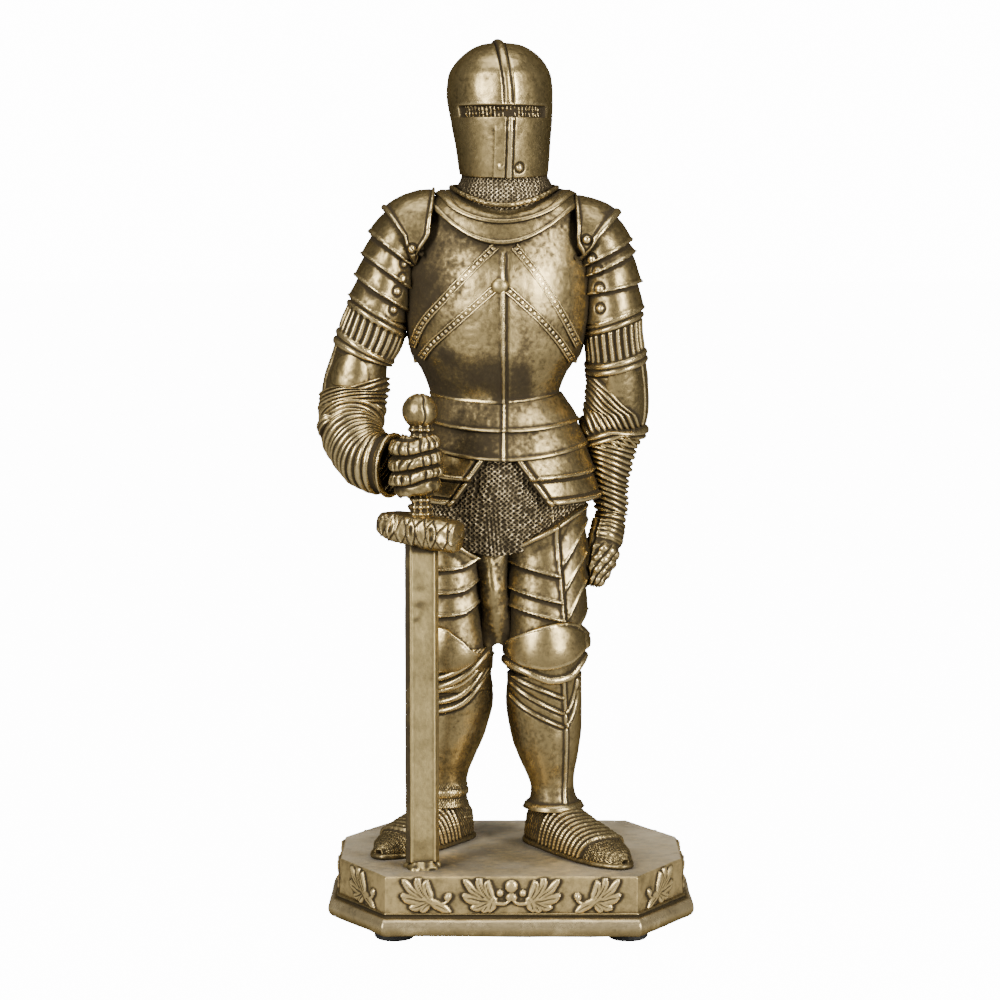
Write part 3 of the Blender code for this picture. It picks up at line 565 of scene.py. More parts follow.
def plate_relief(skin, first, last, low, high, out, spacing=FINE):
    """A curved plate between two turns, with lower and upper edges that are functions of the turn."""
    middle = 0.5 * (first + last)
    radius = skin.girth(np.array([(low(middle) + high(middle)) / 2]))[0] + out
    columns = max(6, int(abs(math.radians(last - first)) * radius / spacing))
    turn = np.linspace(first, last, columns)
    tallest = max(high(t) - low(t) for t in turn)
    at, bottom, _ = edged(turn, low, high, max(5, int(tallest / spacing) + 1))
    relief = Relief(skin.point(turn[None, :], at, out), False)
    relief.turn, relief.at = relief.over(turn), at
    relief.along = np.radians(relief.turn) * radius
    relief.from_low = at - bottom
    relief.from_sides = np.minimum(np.abs(relief.turn - first), np.abs(relief.turn - last))
    relief.from_sides = np.radians(relief.from_sides) * radius
    return relief


def grid_relief(x, y, z, closed=True):
    return Relief(np.stack(np.broadcast_arrays(x, y, z), -1), closed)


def facing_out(points, closed, way):
    """A relief of points, with its columns reversed if it would face against the way."""
    relief = Relief(points, closed)
    if (relief.outward * way).sum(-1).mean() < 0:
        relief = Relief(points[:, ::-1], closed)
    return relief


def front_dip(turn, depth, sharpness=2):
    return depth * max(0.0, math.cos(math.radians(turn))) ** sharpness


# ---------------------------------------------------------------- base

PLINTH_HALF_WIDTH = 52.8
PLINTH_HALF_DEPTH = 39.5
PLINTH_CORNER = (15.0, 24.0)
PLINTH_TOP = 22.2
BAND_LOW, BAND_HIGH = 11.1, 21.7  # the carved band round the plinth
BAND_MIDDLE = 16.3
CREASE = 10.3  # height of the dark groove over the moulding


def octagon_corners(grow):
    w, d = PLINTH_HALF_WIDTH, PLINTH_HALF_DEPTH
    cx, cy = PLINTH_CORNER
    slant = math.hypot(cx, cy)
    front = w - cx + grow * (slant - cy) / cx
    side = d - cy + grow * (slant - cx) / cy
    half = [(front, -d - grow), (w + grow, -side), (w + grow, side), (front, d + grow)]
    return np.array(half + [(-x, y) for x, y in half[::-1]])


def base_rings(profile, spacing=0.36):
    """Rings of points round the base for each (grow, height) of a profile, with equal spacing.

    Also gives each column's face number and its distance from the middle of that face.
    """
    base = octagon_corners(0.0)
    lengths = np.linalg.norm(np.roll(base, -1, 0) - base, axis=1)
    face, share = [], []
    for number, length in enumerate(lengths):
        count = int(length / spacing)
        face += [number] * count
        share += list((np.arange(count) + 0.5) / count)
    face, share = np.array(face), np.array(share)
    rings = []
    for grow, height in profile:
        start = octagon_corners(grow)
        end = np.roll(start, -1, 0)
        flat = start[face] * (1 - share[:, None]) + end[face] * share[:, None]
        rings.append(np.concatenate([flat, np.full((len(face), 1), height)], 1))
    return np.array(rings), face, (share - 0.5) * lengths[face]


def lobe(u, v, place, size, angle=0.0):
    """An oval bulge, from 0 at its rim to 1 in its middle."""
    c, s = math.cos(math.radians(angle)), math.sin(math.radians(angle))
    a = ((u - place[0]) * c + (v - place[1]) * s) / size[0]
    b = (-(u - place[0]) * s + (v - place[1]) * c) / size[1]
    return np.sqrt(np.clip(1 - a * a - b * b, 0, None))


def leaf_lobe(out, off, length, width, taper, thick, vein):
    """One lobe of a leaf, with a vein, from distances out from its root and off its middle line."""
    along = np.clip(out / length, 0, 1)
    half = width * np.sqrt(4 * along * (1 - along)) * (1 - taper * (1 - along)) + 1e-6
    shape = np.sqrt(np.clip(1 - (off / half) ** 2, 0, None)) * ((out > 0) & (out < length))
    return (thick[0] + thick[1] * along) * shape - vein * hill(off, 0.17) * (shape > 0.3)


def acanthus(u, v, tip):
    """A lobed leaf that fans out to the left, with a lower tip and a stem that ends in a curled ball."""
    flat = np.stack([u, v, np.zeros_like(u)], -1)
    u = u + 0.55 * noise(flat, 3.2, 11)
    v = v + 0.55 * noise(flat, 3.0, 12)
    root_u, root_v = 2.2, -1.6
    rise = np.zeros_like(u)
    for angle, length, width in (
        (236, 4.2, 1.5),
        (210, 6.6, 1.9),
        (186, 9.2, 2.1),
        (163, 10.0, 2.2),
        (139, 8.6, 2.1),
        (114, 6.0, 1.7),
    ):
        c, s = math.cos(math.radians(angle)), math.sin(math.radians(angle))
        out = (u - root_u) * c + (v - root_v) * s
        off = -(u - root_u) * s + (v - root_v) * c + 0.035 * out**2
        rise = np.maximum(rise, leaf_lobe(out, off, length, width, 0.45, (0.7, 0.3), 0.34))
    across, down = tip[0] - root_u, tip[1] - root_v
    length = math.hypot(across, down)
    out = ((u - root_u) * across + (v - root_v) * down) / length + 1.5
    off = (-(u - root_u) * down + (v - root_v) * across) / length
    rise = np.maximum(rise, leaf_lobe(out, off, length + 1.5, 1.5, 0.0, (0.85, 0.0), 0.3))
    stem = line_at(u, [(0.0, -0.9), (3.0, -2.0), (5.2, -2.3), (7.2, -1.2)])
    rise = np.maximum(rise, np.where((u > 0.0) & (u < 7.4), bead(v - stem, 0.6, 0.8), 0.0))
    curl = bead(np.hypot(u - 6.9, v + 0.3), 1.25, 1.0)
    return np.clip(np.maximum(rise, curl), 0, 1)


def leaf_band(face, u, v):
    """The carved leaves on one face of the plinth. u runs along the face and v up from its middle."""
    long_face = np.isin(face, (3, 7))
    short_face = np.isin(face, (1, 5))
    hung, swept = (1.4, -5.0), (8.2, -5.2)
    group = np.maximum(acanthus(u + 7.9, v, hung), acanthus(-(u - 7.9), v, hung))
    for place, radius in (((0.0, 2.9), 2.0), ((-3.4, 0.9), 1.15), ((3.4, 0.9), 1.15)):
        group = np.maximum(group, lobe(u, v, place, (radius, radius)) * 1.1)
    single = np.maximum(acanthus(u + 26.3, v, swept), acanthus(-(u - 26.5) * 1.1, v, swept))
    slanted = acanthus(np.where(np.isin(face, (0, 4)), -u, u), v, swept)
    rise = np.where(long_face | short_face, group, slanted)
    return np.where(long_face, np.maximum(rise, single), rise)


def make_plinth():
    edge = [(-0.15, 21.85), (-0.35, 22.08), (-0.7, PLINTH_TOP)]
    profile = [(0.15, 10.9)] + [(0.0, z) for z in np.arange(BAND_LOW, BAND_HIGH, 0.3)] + edge
    profile += [(-0.7 - g, PLINTH_TOP) for g in np.arange(0.4, 3.4, 0.4)]
    rings, face, across = base_rings(profile)
    # The top closes on a line from left to right. The last row is narrow, so that its fold isn't seen.
    middle_line = rings[-1] * (0.3, 0.0, 1.0)
    share = np.append(np.linspace(0, 1, 47)[1:-1], [0.998, 1.0])[:, None, None]
    rings = np.concatenate([rings, rings[-1] * (1 - share) + middle_line * share])
    relief = Relief(rings, True)
    x, y, z = relief.x, relief.y, relief.z
    band = (z < BAND_HIGH) * smoothstep(10.9, 11.4, z)
    leaves = leaf_band(relief.over(face), relief.over(across), z - BAND_MIDDLE)
    outline = (leaves > 0.02).astype(float)
    soft = blurred(outline, relief.cells(0.25), True)
    relief.height += 0.95 * leaves * band - 0.1 * soft * (1 - outline) * band
    relief.height += 0.16 * noise(rings, 9.0, 5) + 0.06 * noise(rings, 2.2, 6)

    top = z >= PLINTH_TOP - 0.01
    relief.outward[top] = (0.0, 0.0, 1.0)
    # Painted reflection: the top is whitened as if it mirrored the white backdrop, more towards the rear and
    # less in the middle, which is also darker. Painted shadow darkens it beside the sword's foot.
    middle = hill(x, 26.0) * hill(y + 10.0, 18.0)
    beside_sword = np.hypot(x - SWORD[0] - 4.0, (y - SWORD[1] - 3.0) * 1.3)
    shadow_by_sword = hill(beside_sword, 11.5)
    reflection_to_rear = 0.65 + 0.35 * smoothstep(-36.0, 10.0, y)
    painted_sheen = np.clip(reflection_to_rear - 0.5 * middle + 0.2 * noise(rings, 8.0, 10), 0, 1)
    relief.painted_sheen += top * 0.7 * painted_sheen * (1 - 0.9 * shadow_by_sword)
    stains = 0.2 * np.clip(noise(rings, 13.0, 9), 0, 1)
    relief.grime_and_shade += 0.1 * outline * band + top * (stains + 0.6 * shadow_by_sword + 0.35 * middle)
    cast("base_plinth", relief, STONE, 1.0)


def make_moulding():
    groove = [
        (-2.0, 11.3),
        (0.5, 11.2),
        (0.75, 10.95),
        (0.75, 10.5),
        (0.3, CREASE),
        (0.3, 10.05),
        (0.9, 9.9),
    ]
    arc = np.radians(np.linspace(84, -86, 30))
    bull = [(0.9 + 2.55 * math.cos(a), 6.98 + 2.85 * math.sin(a)) for a in arc]
    under = [(0.2, 4.1), (-4.0, 4.05), (-8.0, 4.05)]
    rings, _, _ = base_rings((groove + bull + under)[::-1], 0.45)
    relief = Relief(rings, True)
    relief.height += 0.18 * noise(rings, 11.0, 15) + 0.06 * noise(rings, 2.6, 16)
    relief.grime_and_shade += 1.5 * hill(relief.z - CREASE, 0.4) - 0.4
    # Painted highlight along the upper half of the bullnose.
    relief.painted_sheen += 0.22 * smoothstep(5.5, 8.0, relief.z) * smoothstep(9.9, 9.5, relief.z)
    cast("base_moulding", relief, ARMOUR, 0.5)
    for name in ("front_right", "front_left", "rear_right", "rear_left"):
        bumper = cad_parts["bumper_" + name]
        bumper.data.materials.clear()
        bumper.data.materials.append(RUBBER)


# ---------------------------------------------------------------- sword

SWORD = (-26.9, -28.0)
GUARD_HEIGHT = 125.2
POMMEL = (-27.3, -28.0, 160.8)
POMMEL_RADIUS = 5.35
BLADE_TURN = 11.0
GUARD_TURN, GUARD_TILT = -25.0, -7.0


def rounded_ring(corners, spacing, times=1):
    """A closed outline through corners, resampled evenly, with its corners eased a number of times."""
    corners = np.array(corners, float)
    loop = np.concatenate([corners, corners[:1]])
    length = run_of(loop)
    count = int(length[-1] / spacing)
    share = np.arange(count) * length[-1] / count
    ring = np.stack([np.interp(share, length, loop[:, i]) for i in (0, 1)], -1)
    for _ in range(times):
        ring = 0.25 * np.roll(ring, 1, 0) + 0.5 * ring + 0.25 * np.roll(ring, -1, 0)
    return ring


def circle(count):
    """Angles of a full circle in radians."""
    return np.radians(np.linspace(0, 360, count, endpoint=False))


def squared(angle, power):
    """The cosine and sine of an angle, swollen towards a square for a power below 1."""
    c, s = np.cos(angle), np.sin(angle)
    return np.sign(c) * np.abs(c) ** power, np.sign(s) * np.abs(s) ** power


def make_blade():
    w, flat, t = 5.1, 3.6, 2.1
    section = [(-w, -0.5), (-flat, -t), (flat, -t), (w, -0.5)]
    across, deep = rounded_ring(section + [(-x, -y) for x, y in section], 0.28).T
    c, s = math.cos(math.radians(BLADE_TURN)), math.sin(math.radians(BLADE_TURN))
    heights = np.arange(24.2, 121.5, 0.45)[:, None]
    relief = grid_relief(SWORD[0] + across * c - deep * s, SWORD[1] + across * s + deep * c, heights)
    relief.weather(0.05, 21)
    relief.height += 0.12 * hill(np.abs(across) - flat, 0.35)
    front = deep < 0
    smudge = hill(relief.z - 104.0, 8.0) * hill(across + 0.6, 2.4)
    smudge = smudge * np.clip(noise(relief.points, 2.4, 25) + 0.15, 0, 1)
    # Painted shade: the front's bevel on the figure's right is darkened, as the side turned from the light.
    relief.grime_and_shade += (0.75 * smoothstep(0.1, 0.6, -across - flat) + 1.2 * smudge) * front
    relief.grime_and_shade += 0.25 * np.clip(noise(relief.points, 6.0, 23) - 0.35, 0, 1)
    # Darker in a band just under the crossguard.
    relief.grime_and_shade += 0.9 * hill(relief.z - 119.8, 1.2)
    cast("sword_blade", relief, BLADE, 0.4)


def make_socket():
    """The swelling where the sword's point meets the base."""
    turn = circle(110)
    up = np.linspace(0, 1, 40)[:, None]
    spread = 3.9 + 1.3 * smoothstep(0.75, 0.25, up) - 2.6 * smoothstep(0.85, 1.0, up)
    spread = spread * (1 + 0.10 * np.sin(5 * turn) + 0.05 * np.sin(9 * turn + 1))
    x = SWORD[0] + spread * np.cos(turn)
    y = SWORD[1] + 0.85 * spread * np.sin(turn)
    relief = grid_relief(x, y, 22.1 + 3.0 * up)
    relief.height += 0.35 * noise(relief.points, 1.7, 31)
    cast("sword_socket", relief, BLADE, 1.5)


def make_guard():
    lengths = [-13.6, -13.0, -11.0, -6.5, 0.0, 6.5, 11.0, 13.3, 14.0]
    deep = [0.05, 2.4, 3.4, 4.3, 4.8, 4.8, 4.6, 4.1, 0.05]
    tall = [0.05, 2.4, 3.7, 4.6, 4.9, 4.9, 4.7, 4.3, 0.05]
    turn, tilt = math.radians(GUARD_TURN), math.radians(GUARD_TILT)
    c, s = math.cos(turn), math.sin(turn)
    along = np.array([c * math.cos(tilt), s * math.cos(tilt), math.sin(tilt)])
    across = np.array([-s, c, 0.0])
    middle = np.array([SWORD[0] - 1.0, SWORD[1], GUARD_HEIGHT])
    angle = circle(110)
    body = np.linspace(-12.75, 13.1, 104)
    place = np.concatenate([np.linspace(-13.6, -13.0, 9), body, np.linspace(13.3, 14.0, 9)])[:, None]
    wide, high = squared(angle, 0.6)
    wide = (wide * smooth_value(lengths, deep, place))[..., None]
    high = (high * smooth_value(lengths, tall, place))[..., None]
    points = middle + place[..., None] * along - wide * across + high * np.cross(along, across)
    relief = Relief(points, True)
    v = ((relief.over(angle) + math.pi / 2) % math.pi - math.pi / 2) * 4.2
    v = v + 0.9 * noise(points, 3.0, 34)
    u = place + 1.1 * noise(points, 4.0, 36)
    for shift in (0.0, 3.5):  # two crossing zigzags make a row of ovals
        relief.height += dent(v - 2 * row_gap(u + shift, 7.0) + 3.5, 0.4, 0.75)
    relief.height += dent(np.hypot(row_gap(u + 3.5, 7.0), v), 0.6, 0.5)
    relief.height += 0.3 * noise(points, 2.6, 33) + 0.12 * noise(points, 1.1, 38)
    relief.height *= smoothstep(13.8, 12.4, np.abs(u))
    relief.grime_and_shade -= 0.3
    cast("sword_crossguard", relief, ARMOUR, 0.5)


def make_grip_and_pommel():
    rows = np.linspace(GUARD_HEIGHT + 3.0, POMMEL[2] - 4.0, 110)[:, None]
    angle = circle(70)
    radius = 2.9 + 0.6 * smoothstep(131.5, 128.8, rows) + 0.5 * smoothstep(153.5, 155.8, rows)
    relief = grid_relief(SWORD[0] - 0.2 + radius * np.sin(angle), SWORD[1] - radius * np.cos(angle), rows)
    relief.height += 0.3 * np.cos(2 * math.pi * relief.z / 2.1)
    relief.height += 0.3 * np.cos(2 * math.pi * angle * 2.9 / 2.3) + 0.12 * noise(relief.points, 1.3, 35)
    cast("sword_grip", relief, ARMOUR, 1.0)

    lift = np.radians(np.linspace(-78, 89, 90))[:, None]
    angle = circle(130)
    x = POMMEL[0] + POMMEL_RADIUS * np.cos(lift) * np.sin(angle)
    y = POMMEL[1] - POMMEL_RADIUS * np.cos(lift) * np.cos(angle)
    relief = grid_relief(x, y, POMMEL[2] + POMMEL_RADIUS * np.sin(lift))
    for seam in (18, 110, 200, 290):
        gap = np.radians((np.degrees(angle) - seam + 180) % 360 - 180)
        relief.height += dent(gap * POMMEL_RADIUS * np.cos(lift) + 0.25 * np.sin(5 * lift), 0.28, 0.4)
    relief.weather(0.12, 37)
    cast("sword_pommel", relief, ARMOUR, 0.4)


# ---------------------------------------------------------------- legs

LEFT_LEG = [
    (34.0, 13.4, 3.2, 7.6, 8.2),
    (37.5, 13.3, 3.4, 6.9, 7.8),
    (41.0, 13.0, 3.6, 6.8, 7.8),
    (45.0, 12.4, 4.2, 7.6, 8.8),
    (50.0, 11.7, 4.6, 9.2, 10.4),
    (59.0, 10.9, 5.0, 11.3, 12.2),
    (69.0, 10.3, 4.0, 11.9, 12.6),
    (76.0, 10.4, 1.5, 11.6, 12.2),
    (84.0, 10.4, 0.2, 12.2, 12.6),
    (92.0, 10.6, 1.4, 12.0, 12.8),
    (104.0, 10.8, 3.2, 12.6, 14.0),
    (115.0, 10.9, 4.4, 12.7, 14.8),
    (133.0, 10.0, 5.6, 12.4, 15.0),
]
RIGHT_LEG = [
    (34.0, -20.9, 8.8, 7.6, 8.2),
    (37.5, -20.9, 9.0, 6.9, 7.8),
    (41.0, -20.8, 9.0, 6.9, 7.9),
    (45.0, -20.7, 9.2, 7.6, 8.8),
    (50.0, -20.2, 9.2, 9.2, 10.4),
    (59.0, -18.6, 9.0, 11.2, 12.2),
    (69.0, -17.2, 7.6, 11.8, 12.6),
    (76.0, -18.0, 5.0, 11.6, 12.2),
    (84.0, -18.3, 3.4, 12.2, 12.6),
    (92.0, -18.8, 3.8, 11.6, 12.8),
    (104.0, -19.6, 4.8, 11.6, 14.0),
    (115.0, -19.8, 5.4, 11.7, 14.8),
    (133.0, -18.2, 6.0, 12.2, 15.0),
]
FOOT_SHAPE = [
    (-2.2, 0.5, 0.8),
    (-2.0, 2.4, 5.4),
    (-1.3, 4.0, 8.8),
    (1.0, 5.8, 10.8),
    (5.0, 6.7, 11.6),
    (13.0, 7.1, 11.8),
    (17.0, 7.4, 11.2),
    (22.0, 7.6, 9.8),
    (32.0, 7.6, 7.4),
    (41.0, 6.2, 5.0),
    (46.0, 3.8, 3.2),
    (48.6, 1.2, 1.4),
]
DRAPE = [
    (83.6, -4.0, 1.4, 6.8, 6.0),
    (90.0, -4.2, -0.2, 5.8, 5.8),
    (97.0, -4.7, -2.2, 4.7, 5.4),
    (106.0, -5.3, -3.4, 4.3, 5.0),
    (112.0, -6.0, -3.4, 5.0, 4.8),
    (116.0, -6.6, -3.0, 6.4, 4.8),
    (119.0, -6.8, -2.8, 6.4, 4.4),
]
FEET = {"left": ((8.8, 10.8), 32.0, 1.0), "right": ((-15.9, 16.4), -36.6, 0.86)}  # heel, turn, length
SOLE_HEIGHT = 22.3
UP = np.array([0.0, 0.0, 1.0])


def make_foot(side):
    (heel_x, heel_y), turn, length = FEET[side]
    a = math.radians(turn)
    forward = length * np.array([math.sin(a), -math.cos(a), 0.0])
    across = np.array([math.cos(a), math.sin(a), 0.0])
    start = np.array([heel_x, heel_y, SOLE_HEIGHT])
    station, half_width, top = np.array(FOOT_SHAPE).T

    along = np.concatenate([np.linspace(-2.2, -1.2, 18), np.linspace(-1.0, 48.6, 170)])[::-1, None]
    angle = np.linspace(180, 0, 130)
    side_way, up_way = squared(np.radians(angle), 0.72)
    wide = smooth_value(station, half_width, along) * side_way
    high = 1.6 + smooth_value(station, top, along) * up_way
    points = start + along[..., None] * forward + wide[..., None] * across + high[..., None] * UP
    relief = Relief(points, False)
    tilt = angle - 90
    bow = relief.over(along) + 3.4 * (np.abs(tilt) / 90) ** 2
    instep = smoothstep(13.4, 14.2, bow) * (1 - smoothstep(37.6, 38.2, bow))
    lame = (bow / 2.25) % 1.0
    seam = dent(np.minimum(lame, 1 - lame) * 2.25, 0.28, 0.35)
    relief.height += instep * (0.85 * lame**1.5 + 0.35 + seam)
    mailed = smoothstep(38.0, 38.6, bow) + 1 - smoothstep(12.9, 13.4, bow)  # the toe and the heel
    rings = mail(relief.over(along), relief.over(np.radians(tilt) * 7.5), 1.3, 0.45)
    relief.height += mailed * (rings - 0.25) + bead(bow - 38.0, 0.5, 0.5)
    relief.grime_and_shade += 0.18 * mailed
    relief.weather(0.07, 41)
    cast("sabaton_" + side, relief, ARMOUR, 1.0)

    outline = [(-2.7, 3.6)] + [(s, w + 0.5) for s, w, _ in FOOT_SHAPE[3:-1]] + [(49.2, 1.9)]
    loop = rounded_ring(outline + [(s, -w) for s, w in outline[::-1]], 0.4, 12)
    tangent = np.roll(loop, -1, 0) - np.roll(loop, 1, 0)
    normal = np.stack([tangent[:, 1], -tangent[:, 0]], -1)
    normal /= np.linalg.norm(normal, axis=1)[:, None]
    normal *= np.sign(((loop - (24.0, 0.0)) * normal).sum(1).mean())
    rings = []
    for grow, height in (
        (-0.2, 0.0),
        (0.35, 0.3),
        (0.5, 0.8),
        (0.4, 1.3),
        (-0.1, 1.65),
        (-0.8, 1.8),
        (-2.5, 1.85),
    ):
        flat = loop + normal * grow
        rings.append(start + flat[:, :1] * forward + flat[:, 1:] * across + height * UP)
    rings = np.array(rings)
    relief = facing_out(rings, True, rings - rings.mean((0, 1)))
    relief.weather(0.06, 43)
    cast("sole_" + side, relief, ARMOUR, 0.4)


def calf(relief):
    """The swelling at the back of a lower leg."""
    behind = smoothstep(0.1, 0.6, relief.outward[..., 1])
    return 0.9 * behind * smoothstep(50, 58, relief.z) * smoothstep(74, 66, relief.z)


def knee_wing(relief, sign, y):
    """The round plate at the outer side of a knee."""
    outer = smoothstep(0.55, 0.95, sign * relief.outward[..., 0])
    return outer * bead(np.hypot(relief.z - 88.0, (relief.y - y) * 0.8), 5.2, 1.0)


def finish_cuisse(side, relief, route, seed):
    """A thigh plate's lames behind, and its raised upper edge: above it the metal sinks under the mail."""
    above = relief.z - line_at(relief.x, route)
    relief.height += -3.4 * smoothstep(0.0, 0.7, above) + bead(above + 0.6, 0.75, 0.6)
    relief.height += 0.9 * smoothstep(-5.0, -0.5, above)
    relief.height += 0.5 * (1 - relief.facing()) * shingles(relief.z, [112.0, 104.0, 97.0], 0.9)
    relief.weather(0.1, seed)
    relief.grime_and_shade += 0.1 + 0.25 * np.clip(noise(relief.points, 7.0, 66), 0, 1)
    cast("cuisse_" + side, relief)


def make_left_leg():
    leg = Skin(LEFT_LEG)
    make_foot("left")
    relief = ring_relief(leg, 34.2, 77.5)
    relief.rib([(16.0, 80.0), (16.6, 70.0), (17.2, 58.0), (17.0, 48.0), (16.6, 37.0)], 0.55, 0.6, 0.12)
    for route in (
        [(-1.6, 78.4), (4.0, 75.6), (10.0, 73.2), (15.8, 70.6)],
        [(-1.6, 76.0), (4.0, 72.0), (10.0, 68.6), (16.1, 65.6)],
        [(-1.4, 71.5), (3.0, 68.0), (9.0, 64.6), (16.1, 61.2)],
        [(17.5, 61.5), (19.6, 66.0), (20.8, 72.5)],
        [(17.5, 66.0), (19.4, 70.0), (20.8, 76.0)],
    ):
        before = relief.height.copy()
        relief.rib(route, 0.55, 0.6, 0.35)
        ahead = smoothstep(0.2, 0.5, -relief.outward[..., 1])
        relief.height = before + (relief.height - before) * ahead
    flare = np.clip(40.6 - relief.z, 0, None)
    relief.height += calf(relief) + 0.055 * flare**2 + bead(relief.z - 35.6, 0.8, 0.4)
    # Painted shade: the sides that turn away from the front are darkened.
    beside = smoothstep(0.0, 0.8, np.abs(relief.outward[..., 0]))
    relief.grime_and_shade += 0.35 * (1 - relief.facing()) * beside
    relief.weather(0.09, 51)
    cast("greave_left", relief)

    relief = ring_relief(leg, 73.0, 84.0, 0.5)
    rim = [(-2.0, 80.8), (5.8, 77.9), (12.9, 75.6), (18.1, 76.6), (23.0, 82.0)]
    below = relief.z - line_at(relief.x, rim)
    relief.height += bead(below - 0.9, 1.15, 1.0) + dent(below + 0.6, 0.4, 0.5)
    relief.height += -2.5 * smoothstep(0.0, 0.8, -below - 0.6)
    relief.weather(0.08, 53)
    cast("knee_lames_left", relief)

    relief = ring_relief(leg, 79.0, 97.0)
    top = [(-2.0, 87.0), (2.8, 90.5), (8.9, 93.4), (15.0, 94.8), (19.6, 94.0), (22.8, 89.8)]
    low = [(-1.6, 83.4), (3.0, 81.4), (10.4, 80.3), (17.0, 81.6), (22.5, 85.4)]
    above = relief.z - line_at(relief.x, top)
    inside = smoothstep(-0.2, 0.5, -above) * smoothstep(-0.2, 0.5, relief.z - line_at(relief.x, low))
    relief.height += inside * (0.9 + 1.7 * lobe(relief.x, relief.z, (11.0, 87.0), (12.0, 7.5)))
    relief.height += bead(above + 0.35, 0.5, 0.35) - 1.6 * smoothstep(0.1, 0.8, above)
    relief.height += knee_wing(relief, 1, 1.5)
    relief.weather(0.08, 55)
    cast("poleyn_left", relief)

    relief = ring_relief(leg, 84.0, 132.0)
    front, z = relief.facing(), relief.z
    off_ridge = relief.x - np.interp(z, [95.0, 104.6, 121.6, 130.0], [16.1, 15.3, 13.8, 13.2])
    inner = smoothstep(0.2, -0.4, off_ridge) * front
    relief.height += inner * shingles(z + 0.28 * (relief.x - 6.0), [110.8, 102.8, 97.4], 1.15, 0.45)
    relief.height += (bead(off_ridge, 0.6, 0.8) + dent(off_ridge - 0.9, 0.25, 0.25)) * front
    outer = smoothstep(0.5, 1.2, off_ridge) * smoothstep(-0.5, -0.05, 0.25 - relief.outward[..., 1])
    fan = z - 1.55 * off_ridge - 0.5 * np.sin(z / 4.0)
    relief.height += outer * (shingles(fan, [110.0, 102.0, 94.0, 86.0], 1.3, 0.35) - 0.5)
    rim = [(-3.6, 115.0), (0.0, 116.6), (5.8, 120.0), (15.0, 125.0), (22.6, 129.9), (24.0, 130.6)]
    finish_cuisse("left", relief, rim, 57)


def make_right_leg():
    leg = Skin(RIGHT_LEG)
    make_foot("right")
    relief = ring_relief(leg, 34.2, 79.5)
    for start, end in ((79.5, 73.4), (77.5, 69.6), (75.2, 66.6), (84.5, 78.0)):
        route = [(-29.0, end - 1.6), (-21.9, end - 0.6), (-15.5, end + 1.6), (-6.0, start + 5.0)]
        relief.rib(route, 0.95, 1.0)
    relief.height += bead(relief.z - 38.6, 1.2, 0.5) + calf(relief)
    ankle = smoothstep(42.5, 40.5, relief.z)
    relief.height += ankle * (mail(relief.along, relief.z, 1.3, 0.45) - 0.1)
    # Painted shade: the sides that turn away from the front are darkened.
    relief.grime_and_shade += 0.3 * (1 - relief.facing())
    relief.weather(0.09, 61)
    cast("greave_right", relief)

    relief = ring_relief(leg, 72.0, 86.0, 0.3)
    for lift in (0.0, 2.9, 5.4):
        route = [(-29.0, 72.8), (-21.9, 74.2), (-15.0, 77.4), (-7.0, 85.0)]
        relief.rib([(x, z + lift) for x, z in route], 1.1, 1.2)
    relief.weather(0.08, 63)
    cast("knee_lames_right", relief)

    relief = ring_relief(leg, 78.5, 96.5)
    top = [(-30.5, 90.0), (-26.0, 93.6), (-21.5, 93.2), (-15.7, 89.2), (-12.8, 86.0), (-7.0, 83.5)]
    above = relief.z - line_at(relief.x, top)
    dome = 0.7 + 1.6 * lobe(relief.x, relief.z, (-19.5, 86.0), (10.5, 7.0))
    relief.height += smoothstep(-0.2, 0.5, -above) * dome
    relief.height += bead(above + 0.3, 0.5, 0.45) - 1.4 * smoothstep(0.1, 0.8, above)
    relief.height += knee_wing(relief, -1, 4.5)
    relief.weather(0.08, 65)
    cast("poleyn_right", relief)

    relief = ring_relief(leg, 84.0, 132.0)
    bend = line_at(relief.x, [(-32.0, 0.6), (-21.9, 0.0), (-15.5, 0.6), (-9.8, 4.6), (-7.0, 7.0)])
    relief.height += relief.facing() * shingles(relief.z - bend, [110.5, 103.2, 96.2], 1.25, 0.5)
    rim = [(-32.0, 130.5), (-24.0, 124.0), (-15.7, 117.9), (-12.5, 115.4), (-9.5, 113.9), (-5.8, 114.3)]
    finish_cuisse("right", relief, rim, 67)


def make_drape():
    """The cloth that hangs between the thighs, arched at its lower edge."""
    relief = ring_relief(Skin(DRAPE), 84.0, 118.5, 0.0, 0.3)
    relief.points[..., 2] += 3.2 * smoothstep(92.0, 84.0, relief.z) * hill(relief.x + 4.0, 2.6)
    fold = relief.x + 0.16 * (relief.z - 100)
    relief.height += 0.14 * np.cos(2 * math.pi * fold / 5.2 + 0.6 * np.sin(relief.z / 4.6))
    relief.height += 0.6 * noise(relief.points, 8.0, 68)
    # Painted shade: darker towards its sides and its lower end, where it hangs between the thighs.
    beside = smoothstep(1.5, 4.5, np.abs(relief.x + 4.9))
    relief.grime_and_shade += 0.1 + 0.35 * beside + 0.3 * smoothstep(100.0, 86.0, relief.z)
    relief.weather(0.2, 69)
    cast("loin_drape", relief)


# ---------------------------------------------------------------- hips

